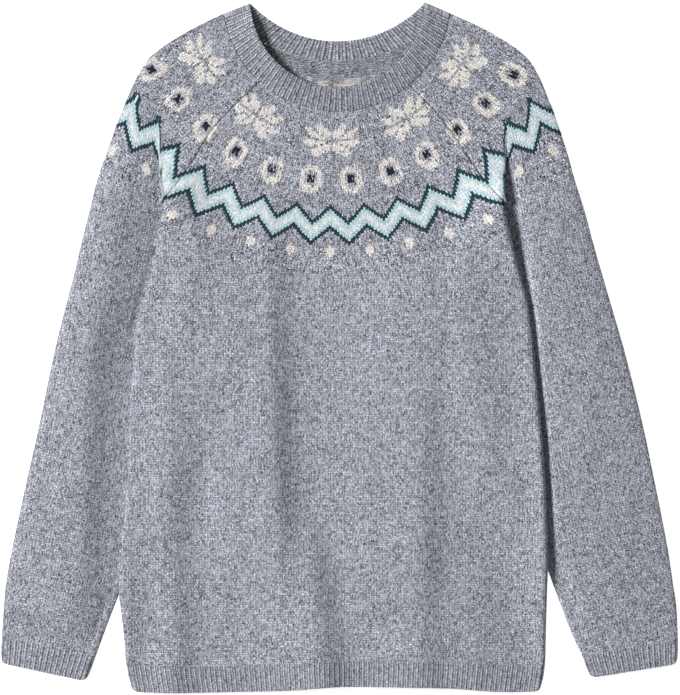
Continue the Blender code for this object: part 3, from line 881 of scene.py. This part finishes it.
def finish_wool(tree, shader, colour, relief):
    """Rough, slightly fuzzy wool whose stitches stand up a little."""
    bump = {"Strength": 0.75, "Distance": STITCH_DEPTH, "Height": relief}
    wool = {
        "Base Color": colour,
        "Normal": added(tree, "ShaderNodeBump", bump),
        "Roughness": 0.95,
        "Specular IOR Level": 0.15,
        "Sheen Weight": 0.12,
        "Sheen Roughness": 0.6,
    }
    fill(tree, shader, wool)


STRANDS_REACH = 14.5  # degrees on both sides of the middle
STRANDS_FROM = 164.5
STRANDS_TO = 196.0


def purl_material(name, marl=0.75):
    """The wrong side of the knit: small arcs in rows, with cream strands behind the stars."""
    made, tree, shader = new_finish(name)
    wale, course = map_wires(tree, "stitches")
    angle, radius = map_wires(tree, "yoke")
    bend = cloudy(tree, vector(tree, wale * 0.14, course * 0.16), 1.0, 2.0) * 4.0
    course = course + bend
    shift = (course.whole() * 0.5).part()
    lane = wale + shift
    arch = (1.0 - (lane.part() - 0.5).size() * 2.0) * 0.45
    rise = (course + arch).part()
    relief = (rise * (1.0 - rise) * 4.0).power(0.6)
    light = yarn_mix(tree, lane.whole(), (course + arch).whole(), shift, wale, course, marl)
    # Painted shade between the purl arcs, down to 40 % of the level in the gaps.
    tone_and_painted_shade = (relief * 0.6 + 0.4) * 0.79
    grey = tinted(tree, HEATHER, light)
    strands = angle.size().under(STRANDS_REACH)
    strands = strands * radius.over(STRANDS_FROM) * radius.under(STRANDS_TO)
    broken = speckle(tree, (wale * 0.5).whole(), (course / 2.0).whole(), 4.0)
    soft = (light - 1.0) * 0.5 + 1.0
    strands = strands * (broken.over(0.45) * 0.7 + 0.12)
    grey = blended(tree, strands, grey, tinted(tree, CREAM, soft))
    finish_wool(tree, shader, tinted(tree, grey, tone_and_painted_shade), relief)
    return made


def body_heights(spacing):
    count = round((UNDERARM_Y - HEM_SEAM_Y) / spacing)
    return list(np.linspace(UNDERARM_Y, HEM_SEAM_Y, count + 1)[1:])


body_knit = knit_material("heather_knit")
body_purl = purl_material("heather_purl")


def split_nets(nets):
    """Outer and inner nets of rows of points, and the distances from the seam beside them."""
    outer, inner = np.array(nets).swapaxes(0, 1)
    from_seam = (outer[..., 3], outer[..., 3] + FAR_FROM_SEAM)
    return outer[..., :3], inner[..., :3], from_seam


def body_panel(name, back, yoke_rows, spacing, flat_columns):
    rows = body_rows(back, yoke_rows, body_heights(spacing))
    nets = [body_section(row, back, flat_columns, first=k == 0) for k, row in enumerate(rows)]
    outer, inner, from_seam = split_nets(nets)
    x, y = outer[..., 0], outer[..., 1]
    wale, course = straight_map(x, y)
    maps = {
        "stitches": (wale + folded_away(outer, outer.shape[1] // 2), course),
        "yoke": back_yoke(x, y) if back else front_yoke(x, y),
    }
    # Painted shade along the body's left side and painted light along its right side, below the
    # underarm.
    edge = (turned(outer, 0) - turned(outer, -1)) * step((UNDERARM_Y - y) / 12) * BODY_RIM_PAINTED_SHADE_AND_LIGHT
    values = {"from_seam": from_seam, "turned": (edge, edge)}
    piece = loft(name, outer, inner, maps, (body_knit, body_purl), values=values)
    return piece, net_area(outer)


back_piece, back_area = body_panel("back_cloth", True, 34, 4.5, 96)
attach(back_piece, "root")
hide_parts("back_panel")

# Front panel: the same knit as the back, cut lower at the neck and with its raglan seams
# further in. It lies on the back panel and over the tucked sleeves, in a few soft folds
# that run down from the yoke, and it is linked to the sleeves at the front raglan seams.
front_piece, front_area = body_panel("front_cloth", False, 44, 3.1, 132)
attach(front_piece, "root")
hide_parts("front_panel")

# Sleeves: each is one fully fashioned panel, linked to the body at its raglan edges and sewn
# to itself under the arm. It is folded flat over the arm and tucked behind the body's side,
# so the yoke folds over it in a crease beside the underarm.
ARM_TOP = 4.8
ARM_CROWN = 1.6
SHOULDER_STEP = 0.5
TUCK = 10.0  # how much further a sleeve goes behind the body beside the underarm
TUCK_RISE = 0.12  # in rows, as are the other places along a sleeve
TUCK_FULL_TO = 5.2
TUCK_FADE = 1.4
CROWN_RISE = 6.0
CROWN_FULL_TO = 12.5
CROWN_FADE = 3.5
FOLDS_FULL_TO = 14.9
FOLDS_FADE = 1.1
CREASE_FADE = 0.25
CREASE_SPOTS = 400
CREASE_LIMIT = 0.72  # share of a row
SLEEVE_HEAD = 90.0  # widest row that still follows the neck's curve
LEAST_INSET = 2.3
RAGLAN_ROWS = 56
SLEEVE_ROWS = 180
FLAT_COLUMNS = 44
LOWER_COLUMNS = 22
CREASE_COLUMNS = 5
# Painted shade on the left sleeve's rim over the arm, and painted light on the right sleeve's
# rim.
LEFT_RIM_PAINTED_SHADE = 1.2
RIGHT_RIM_PAINTED_LIGHT = -0.85
LEFT_FOLDS = (
    (-238.0, 195.0, -262.0, 0.0, 200.0, 36.0, 8.6),
    (-266.0, 30.0, -274.0, -230.0, 200.0, 24.0, 8.0),
    (-274.0, -215.0, -290.0, -322.0, 200.0, 28.0, 6.8),
)
RIGHT_FOLDS = (
    (193.0, 180.0, 214.0, 0.0, 9.0, 110.0, 4.6),
    (211.0, 10.0, 232.0, -215.0, 6.0, 110.0, 4.6),
    (240.0, -200.0, 274.0, -322.0, 14.0, 80.0, 3.0),
)


def crease_distance(front, over, column, length, side):
    """Distance along a sleeve's row from its front edge to the crease or the body's side."""
    u = np.linspace(0.0, 1.0, CREASE_SPOTS)
    x = front[0] + u * (over[0] - front[0])
    y = front[1] + u * (over[1] - front[1])
    beyond = (x - column_at(SIDES, y, column)) * side >= 0
    first = u[np.argmax(beyond)] if beyond.any() else 1.0
    return min(first * length, CREASE_LIMIT * length)


def sleeve_top(x, y, t, along, length, crease, above, below, folds):
    """Height of a sleeve's upper surface, along from its front edge in a row of this length."""
    base = FRONT_TOP + (ARM_TOP - FRONT_TOP) * float(step(t - CURL_FROM))
    free = max(length - crease - 2.0, 1.0)
    q = np.clip((length - along) / free, 0.0, 1.0)
    grow = float(step(t / CROWN_RISE) * (1.0 - 0.5 * step((t - CROWN_FULL_TO) / CROWN_FADE)))
    low = base + ARM_CROWN * grow * np.sin(math.pi * q**0.85)
    folded = step((along - below - 0.5) / 8.0)
    folded = folded * float(1.0 - step((t - FOLDS_FULL_TO) / FOLDS_FADE))
    for fold in folds:
        low = low + crest(x, y, *fold) * folded
    high = front_top(x, y) if t < UNDERARM else low
    share = 1 - step((along - above) / (below - above))
    share = share * (1 - step((t - UNDERARM + CREASE_FADE) / CREASE_FADE))
    return low + (high - low) * share


def sleeve_section(row, t, column, side, folds):
    """Outer and inner points of one row of a sleeve, from front edge to back edge."""
    front, over, back = row[0:2].copy(), row[2:4], row[4:6].copy()
    tucked = step((t - UNDERARM + TUCK_RISE) / TUCK_RISE)
    tuck = TUCK * float(tucked * (1.0 - step((t - TUCK_FULL_TO) / TUCK_FADE)))
    front[0] -= side * tuck
    back[0] -= side * tuck
    upper = math.dist(front, over)
    lower = math.dist(over, back)
    bow_up = sagitta(NECK_FRONT_RADIUS, min(upper, SLEEVE_HEAD)) * bow_left(t)
    bow_low = sagitta(NECK_BACK_RADIUS, min(lower, SLEEVE_HEAD)) * bow_left(t)
    crease = crease_distance(front, over, column, upper, side)
    if t <= UNDERARM:
        inset = max(LEAST_INSET, min(FOLD_INSET, crease - 2.5))
    else:
        share = float(step((t - UNDERARM) / 0.8))
        inset = LEAST_INSET + (FOLD_INSET - LEAST_INSET) * share
    crease = max(crease, inset + 0.9)
    above = crease - min(1.5, 0.3 * (crease - inset))
    below = crease + 1.2
    curl = seam_curl(t)
    joined = t >= UNDERARM - 0.001
    gap = SEAM if t <= UNDERARM else 0.0
    tops = {}
    for key, into in (("in", inset + SEAM), ("out", upper - FOLD_INSET)):
        x, y = bowed(front, over, bow_up, np.array([into / upper]))
        top = sleeve_top(x, y, t, np.array([into]), upper, crease, above, below, folds)
        tops[key] = float(top[0]) / 2
    tops["out"] -= SHOULDER_STEP * (1 - float(step(t / 0.5)))
    nose = 0.5 if joined else SEAM
    before = np.linspace(inset, above, 8)[1:-1]
    slope = np.linspace(above, below, CREASE_COLUMNS)
    after = np.linspace(below, upper - FOLD_INSET, FLAT_COLUMNS - 4)[1:-1]
    flat = np.concatenate((before, slope, after))
    even = np.linspace(FOLD_INSET, upper - FOLD_INSET, len(flat) + 2)[1:-1]
    flat = flat + (even - flat) * (1 - float(step(t / 1.5)))
    nets = []
    for inner in (False, True):
        wall = WALL if inner else 0.0
        into, drop = fold_columns(curl, inset, inner=inner)
        edge = (into + gap * curl, drop)
        fold = fold_columns(1.0, inner=inner, gap=0.0)
        along, drops = edge_to_edge(edge, flat, fold, upper)
        ends = np.full(len(along), tops["in"] + nose)
        ends[-len(FOLD_TURNS) :] = tops["out"]
        x, y = bowed(front, over, bow_up, along / upper)
        z = sleeve_top(x, y, t, along, upper, crease, above, below, folds)
        z = z - wall - groove(along, curl)
        top_net = np.stack((x, y, z + (ends - z) * drops), axis=1)
        top_into = seam_distance(along, front[1])
        low_flat = np.linspace(FOLD_INSET, lower - inset, LOWER_COLUMNS + 2)[1:-1]
        along, drops = (part[1:] for part in edge_to_edge(fold, low_flat, edge, lower))
        ends = np.full(len(along), tops["out"])
        ends[-len(FOLD_TURNS) :] = tops["in"] - nose
        x, y = bowed(over, back, bow_low, along / lower)
        z = np.full(len(x), wall)
        low_net = np.stack((x, y, z + (ends - z) * drops), axis=1)
        net = np.concatenate((top_net, low_net))
        from_seam = np.concatenate((top_into, np.full(len(low_net), 20.0)))
        if t == 0.0:
            out_of_neck = net[:, :2] - NECK_CENTRE
            net[:, :2] += 2 * SEAM * out_of_neck / np.linalg.norm(out_of_neck, axis=1)[:, None]
        nets.append(np.column_stack((net, from_seam)))
    return nets


def sleeve(name, rows, column, side, folds):
    raglan = np.linspace(0.0, UNDERARM, RAGLAN_ROWS)
    arm = np.linspace(UNDERARM, len(rows) - 1.0, SLEEVE_ROWS - RAGLAN_ROWS + 1)[1:]
    stations = np.concatenate((raglan, arm))
    nets = [sleeve_section(along_table(rows, t), t, column, side, folds) for t in stations]
    outer, inner, from_seam = split_nets(nets)
    # Painted shade along the left sleeve's fold over the arm and painted light along the right
    # one's.
    edge = turned(outer, -2 * len(FOLD_TURNS) - LOWER_COLUMNS)
    edge = edge * (LEFT_RIM_PAINTED_SHADE if side < 0 else RIGHT_RIM_PAINTED_LIGHT)
    values = {"from_seam": from_seam, "turned": (edge, edge)}
    x, y = outer[..., 0], outer[..., 1]
    down = np.array(rows[-1][2:4]) - np.array(rows[UNDERARM][2:4])
    wale, course = straight_map(x, y, down / np.linalg.norm(down))
    wale = wale + side * folded_away(outer, len(FOLD_TURNS) + FLAT_COLUMNS // 2)
    maps = {"stitches": (wale, course), "yoke": sleeve_yoke(x, y, side)}
    yarns = (body_knit, body_purl)
    piece = loft(name, outer, inner, maps, yarns, joined_from=RAGLAN_ROWS - 1, values=values)
    return piece, net_area(outer)


for name, node, rows, column, side, folds in (
    ("sleeve_cloth_left", "sleeve_left", SLEEVE_LEFT, 1, -1.0, LEFT_FOLDS),
    ("sleeve_cloth_right", "sleeve_right", SLEEVE_RIGHT, 2, 1.0, RIGHT_FOLDS),
):
    piece, area = sleeve(name, rows, column, side, folds)
    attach(piece, "root")
    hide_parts(node)

# Hem ribs: 1x1 rib knitted on to the lower edge of each body panel. The knit wales stand up
# as round ribs with narrow purl valleys between them. The back one lies hidden on the table.
CORNER = 7.0
RIB_HEIGHT = 0.5
RIB_SINK = 0.25  # how far the valleys lie below the plain knit
HEM_RIBS = 82
RIB_STEPS = 9
HEM_ROWS = 12
RIB_COURSE = 2.3


def rib_relief_tree():
    """Geometry nodes that raise round ribs where a piece says so."""
    tree = bpy.data.node_groups.new("rib_relief", "GeometryNodeTree")
    for name, end, kind in (
        ("Geometry", "INPUT", "Geometry"),
        ("Rib height", "INPUT", "Float"),
        ("Yarn", "INPUT", "Material"),
        ("Geometry", "OUTPUT", "Geometry"),
    ):
        tree.interface.new_socket(name, in_out=end, socket_type="NodeSocket" + kind)
    start = tree.nodes.new("NodeGroupInput")
    end = tree.nodes.new("NodeGroupOutput")
    levels = []
    for name in ("rib", "proud"):
        source = tree.nodes.new("GeometryNodeInputNamedAttribute")
        source.data_type = "FLOAT"
        fill(tree, source, {"Name": name})
        levels.append(Wire(tree, source.outputs["Attribute"]))
    phase, proud = levels
    wave = (phase * (2 * math.pi)).math("COSINE") * 0.5 + 0.5
    height = wave.power(0.75) * proud * Wire(tree, start.outputs["Rib height"])
    offset = tree.nodes.new("ShaderNodeVectorMath")
    offset.operation = "SCALE"
    fill(tree, offset, {0: added(tree, "GeometryNodeInputNormal"), "Scale": height})
    moved = {"Geometry": start.outputs["Geometry"], "Offset": offset.outputs[0]}
    moved = added(tree, "GeometryNodeSetPosition", moved)
    realized = added(tree, "GeometryNodeRealizeInstances", {0: moved})
    coloured = {"Geometry": realized, "Material": start.outputs["Yarn"]}
    tree.links.new(added(tree, "GeometryNodeSetMaterial", coloured), end.inputs[0])
    return tree


def grown(piece, tree, **inputs):
    """The piece with a node tree applied to its mesh."""
    modifier = piece.modifiers.new(tree.name, "NODES")
    modifier.node_group = tree
    names = {s.name: s.identifier for s in tree.interface.items_tree if s.in_out == "INPUT"}
    for key, value in inputs.items():
        modifier[names[key.replace("_", " ")]] = value
    graph = bpy.context.evaluated_depsgraph_get()
    graph.update()
    mesh = bpy.data.meshes.new_from_object(piece.evaluated_get(graph))
    piece.modifiers.remove(modifier)
    piece.data = mesh
    return piece


def rib_material(name, shade, marl=0.62):
    """1x1 rib: a bright knit wale, painted shade as a dark line on both its sides, and a purl
    wale dulled by painted shade.
    """
    made, tree, shader = new_finish(name)
    wale, course = map_wires(tree, "stitches")
    column, row, leg, relief = stitch(wale, course)
    light = yarn_mix(tree, column, row, leg, wale, course, marl)
    turn = (wale - 0.5) * math.pi
    wave = turn.math("COSINE").size().power(0.6) * (turn.math("COSINE") * 0.12 + 0.88)
    # Painted shade in the rib's valleys and between the stitches.
    tone_and_painted_shade = (relief * 0.5 + 0.5) * (wave * 0.96 + 0.06) * shade
    tone_and_painted_shade = with_painted_rim_shade_and_light(tree, tone_and_painted_shade)
    grey = tinted(tree, HEATHER, light)
    finish_wool(tree, shader, tinted(tree, grey, tone_and_painted_shade), relief)
    return made


rib_relief = rib_relief_tree()
hem_finish = rib_material("heather_rib", 1.42)


def hem_rib(back):
    nets = []
    flat_columns = HEM_RIBS * RIB_STEPS - 1
    for k in range(HEM_ROWS + 1):
        y = HEM_SEAM_Y + (HEM_MEAN_Y - HEM_SEAM_Y) * k / HEM_ROWS
        nets.append(body_section(side_row(y), back, flat_columns, low=y - HEM_MEAN_Y))
    return split_nets(nets)[:2]


def rib_piece(name, outer, inner, phase, proud, finish, ring=False, edge=0.0):
    """A band with ribs: phase counts ribs, and proud is 1 where they stand up."""
    course = -np.linalg.norm(outer - outer[:1], axis=2) / RIB_COURSE
    maps = {"stitches": (phase * 2 + 0.5, course)}
    # edge is the painted rim shade and light, kept as the "turned" value.
    edge = phase * 0.0 + edge
    values = {"rib": (phase, phase), "proud": (proud[0], proud[1]), "turned": (edge, edge)}
    piece = loft(name, outer, inner, maps, (finish,), ring=ring, values=values)
    grown(piece, rib_relief, Rib_height=RIB_HEIGHT * MM, Yarn=finish)
    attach(piece, "root")
    return piece


for name, node, back, lies_on in (
    ("hem_rib_cloth_front", "hem_rib_front", False, "hem_rib_cloth_back"),
    ("hem_rib_cloth_back", "hem_rib_back", True, "table_top"),
):
    outer, inner = hem_rib(back)
    fold = len(FOLD_TURNS)
    phase = (np.arange(outer.shape[1]) - fold + 1) / RIB_STEPS + 0.5
    phase = np.broadcast_to(phase, outer.shape[:2])
    shown = np.zeros(outer.shape[:2])
    if not back:
        shown[:, fold:-fold] = 1.0
        shown[0] = 0.5
    outer[..., 2] -= RIB_SINK * shown
    piece = rib_piece(name, outer, inner, phase, (shown, 0 * shown), hem_finish)
    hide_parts(node)
    net_area(outer)

# Cuffs: 1x1 rib tubes knitted on to the sleeves' lower ends, laid flat. They narrow a little
# towards their edge, and their corners are rounded where the tube folds.
CUFF_RIBS = 15
CUFF_ROWS = 12
# A cuff's ends. Columns: inner x, inner y, over x, over y.
CUFF_LEFT = (
    (-255.5, -324.0, -354.5, -303.6),
    (-264.9, -350.6, -356.3, -331.2),
)
CUFF_RIGHT = (
    (255.0, -324.0, 356.1, -307.0),
    (262.9, -347.2, 356.3, -332.2),
)
LOWER_CUFF_COLUMNS = 40
# Painted shade on the left cuff's outer rim, and painted light on the right cuff's.
CUFF_RIM_PAINTED_SHADE_AND_LIGHT = 0.9


def cuff(rows):
    """Nets of a cuff, with its ribs' phase and where they stand up."""
    top, low = np.array(rows)
    axis = (low[0:2] + low[2:4] - top[0:2] - top[2:4]) / 2
    axis = axis / np.linalg.norm(axis)
    nets = ([], [])
    for k in range(CUFF_ROWS + 1):
        share = k / CUFF_ROWS
        row = top + (low - top) * share
        start, end = row[0:2], row[2:4]
        length = math.dist(start, end)
        room = length - 2 * FOLD_INSET
        flat = FOLD_INSET + room * np.arange(1, CUFF_RIBS * RIB_STEPS) / (CUFF_RIBS * RIB_STEPS)
        under = np.linspace(length - FOLD_INSET, FOLD_INSET, LOWER_CUFF_COLUMNS + 2)[1:-1]
        for net, inner in zip(nets, (False, True)):
            into, drop = fold_columns(1.0, inner=inner, gap=0.0)
            wall = WALL if inner else 0.0
            along, drops = edge_to_edge((into, drop), flat, (into, drop), length)
            along = np.concatenate((along, length - into[1:], under, into[:0:-1]))
            drops = np.concatenate((drops, drop[1:], 0 * under, drop[:0:-1]))
            upper = np.arange(len(along)) < 2 * len(into) + len(flat)
            crown = FRONT_TOP + 0.5 * ARM_CROWN * np.sin(math.pi * along / length)
            z = np.where(upper, crown - wall, wall)
            z = z + (FRONT_TOP / 2 - z) * drops
            near = np.minimum(np.minimum(along, length - along), CORNER)
            back = (np.sqrt(CORNER**2 - (CORNER - near) ** 2) - CORNER) * share**4
            spot = start + (end - start) * (along / length)[:, None] + back[:, None] * axis
            net.append(np.column_stack((spot, z)))
    fold = len(FOLD_TURNS)
    columns = len(nets[0][0])
    ribs = np.full(columns, 1.0 / RIB_STEPS)
    ribs[-fold - LOWER_CUFF_COLUMNS + 1 : -fold + 2] = CUFF_RIBS / (LOWER_CUFF_COLUMNS + 1)
    phase = np.cumsum(ribs) - fold / RIB_STEPS + 0.5
    shown = np.zeros(columns)
    shown[fold : fold + CUFF_RIBS * RIB_STEPS - 1] = 1.0
    phase = np.tile(phase, (CUFF_ROWS + 1, 1))
    return np.array(nets[0]), np.array(nets[1]), phase, np.tile(shown, (CUFF_ROWS + 1, 1))


for name, node, rows in (
    ("cuff_cloth_left", "cuff_left", CUFF_LEFT),
    ("cuff_cloth_right", "cuff_right", CUFF_RIGHT),
):
    outer, inner, phase, shown = cuff(rows)
    shown[0] *= 0.5
    outer[..., 2] -= RIB_SINK * shown
    # Painted shade on the left cuff's outer rim and painted light on the right cuff's.
    edge = turned(outer, 2 * len(FOLD_TURNS) + CUFF_RIBS * RIB_STEPS - 2)
    edge = edge * (CUFF_RIM_PAINTED_SHADE_AND_LIGHT if rows is CUFF_LEFT else -CUFF_RIM_PAINTED_SHADE_AND_LIGHT)
    proud = (shown, 0 * shown)
    piece = rib_piece(name, outer, inner, phase, proud, hem_finish, ring=True, edge=edge)
    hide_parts(node)
    area = net_area(outer)

# Neckband: a ring of 1x1 rib linked to the panels and the sleeves. It is folded over at both
# shoulders, its front lies over the hollow of the neck and its left side stands up a little.
# Arcs from shoulder to shoulder. Columns: left x, left y, right x, right y, bow.
NECK_FRONT_EDGE = (-93.5, 361.7, 90.3, 362.8, 88.7)
NECK_FRONT_SEAM = (-121.2, 351.2, 117.0, 351.2, 103.4)
NECK_BACK_EDGE = (-93.5, 361.7, 90.3, 362.8, 40.4)
NECK_BACK_SEAM = (-121.2, 351.2, 117.0, 351.2, 49.6)
NECK_FRONT_RIBS = 52
NECK_BACK_RIBS = 31
NECK_INSET = 5.0
NECK_ROWS = 16
COLLAR_STAND = 8.0
EDGE_ROUND = 0.9


def neck_point(arc, u):
    return bowed(arc[0:2], arc[2:4], arc[4], u, centre=(arc[0] + 90.0, 900.0))


def neck_length(arc):
    radius, half = arc_shape(math.dist(arc[0:2], arc[2:4]), arc[4])
    return radius * (2 * math.pi - 2 * half if arc[4] > radius else 2 * half)


def neck_section(across):
    """Outer and inner points of one row of the neckband, its ribs' phase and where they show."""
    nets = []
    for inner in (False, True):
        spots = []
        phases = []
        masks = []
        into, drop = fold_columns(1.0, inset=NECK_INSET, inner=inner, gap=0.0)
        for back, ribs in ((False, NECK_FRONT_RIBS), (True, NECK_BACK_RIBS)):
            edge = NECK_BACK_EDGE if back else NECK_FRONT_EDGE
            seam = NECK_BACK_SEAM if back else NECK_FRONT_SEAM
            length = neck_length(edge) * (1 - across) + neck_length(seam) * across
            steps = np.arange(1, ribs * RIB_STEPS)
            flat = NECK_INSET + (length - 2 * NECK_INSET) * steps / (ribs * RIB_STEPS)
            along, drops = edge_to_edge((into, drop), flat, (into, drop), length)
            phase = np.concatenate((0 * into, steps / RIB_STEPS, 0 * into + ribs)) + 0.5
            mask = np.concatenate((0 * into, 1 + 0 * flat, 0 * into))
            if back:
                along, drops, phase, mask = along[1:-1], drops[1:-1], phase[1:-1], mask[1:-1]
            u = 1 - along / length if back else along / length
            first = np.stack(neck_point(edge, u), 1)
            last = np.stack(neck_point(seam, u), 1)
            spot = first + (last - first) * across
            pull = spot - NECK_CENTRE
            seam_gap = SEAM * step((across - 0.8) / 0.2)
            spot = spot - seam_gap * pull / np.linalg.norm(pull, axis=1)[:, None]
            edge_drop = EDGE_ROUND * max(0.0, 1 - across / 0.12) ** 2
            if back:
                z = np.full(len(u), WALL - 0.1 - edge_drop if inner else 0.0)
                shows = mask if inner else 0 * mask
            else:
                stand = COLLAR_STAND * step(u / 0.08) * step((0.48 - u) / 0.3)
                stand = stand + 0.8 * step((u - 0.3) / 0.3) * step((1.0 - u) / 0.1)
                z = FRONT_TOP - 0.25 + stand * (1 - across) ** 1.5
                z = z - (WALL if inner else edge_drop + groove((1 - across) * 24.0, 0.0))
                shows = 0 * mask if inner else mask
            z = z + (FRONT_TOP / 2 + SHOULDER_STEP - z) * drops
            spots.append(np.column_stack((spot, z)))
            phases.append(phase + (NECK_FRONT_RIBS + 1.0 if back else 0.0))
            masks.append(shows)
        nets.append((np.concatenate(spots), np.concatenate(phases), np.concatenate(masks)))
    return nets


neck_nets = [neck_section(k / NECK_ROWS) for k in range(NECK_ROWS + 1)]
neck_outer, neck_inner = (np.array([row[k][0] for row in neck_nets]) for k in (0, 1))
neck_phase = np.array([row[0][1] for row in neck_nets])
neck_shown = tuple(np.array([row[k][2] for row in neck_nets]) for k in (0, 1))
neck_finish = rib_material("heather_neck_rib", 1.23)
neck_piece = rib_piece(
    "neckband_cloth", neck_outer, neck_inner, neck_phase, neck_shown, neck_finish, ring=True
)
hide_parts("neckband")
net_area(neck_outer)

# Table top: a plain pale surface, the soft light of a round softbox on its left and the
# camera straight above the middle of the garment.
TABLE_HALF = 6.0
TABLE_DROP = 0.0003  # keeps the table out of the very plane of the cloth's underside
table_mesh = bpy.data.meshes.new("table_top")
table = bmesh.new()
bmesh.ops.create_grid(table, x_segments=1, y_segments=1, size=TABLE_HALF)
bmesh.ops.translate(table, verts=table.verts, vec=(0.0, 0.0, -TABLE_DROP))
table.to_mesh(table_mesh)
table.free()
table_top = link(table_mesh, "table_top")
WHITE = (1.0, 1.0, 1.0, 1.0)
PAPER = {
    "Base Color": (0.95, 0.95, 0.95, 1.0),
    "Roughness": 0.9,
    "Emission Color": WHITE,
    "Emission Strength": 0.8,
}
paper, tree, shader = new_finish("pale_paper")
fill(tree, shader, PAPER)
table_mesh.materials.append(paper)

world = bpy.data.worlds.new("soft_room")
world.use_nodes = True
room = world.node_tree.nodes["Background"]
fill(world.node_tree, room, {"Color": WHITE, "Strength": 0.18})
bpy.context.scene.world = world

SOFTBOX_AWAY = 7.0
softbox = bpy.data.lights.new("softbox", "AREA")
softbox.shape = "DISK"
softbox.size = 2.2
softbox.energy = 772.0
softbox_lamp = bpy.data.objects.new("softbox", softbox)
softbox_lamp.rotation_euler = (math.radians(-15.7), math.radians(-54.0), 0.0)
softbox_lamp.location = softbox_lamp.rotation_euler.to_matrix().col[2] * SOFTBOX_AWAY
bpy.context.scene.collection.objects.link(softbox_lamp)

CAMERA_HEIGHT = 6.0
CLOTH_MIDDLE = 0.006
VIEW_LENGTH = 0.72975  # the picture's long side, on the cloth
eye = bpy.data.cameras.new("eye")
eye.sensor_width = 36.0
eye.lens = eye.sensor_width * CAMERA_HEIGHT / VIEW_LENGTH
eye.clip_end = 20.0
eye_object = bpy.data.objects.new("eye", eye)
eye_object.location = (0.0, 0.0, CAMERA_HEIGHT + CLOTH_MIDDLE)
bpy.context.scene.collection.objects.link(eye_object)
bpy.context.scene.camera = eye_object
bpy.context.scene.view_settings.view_transform = "Standard"
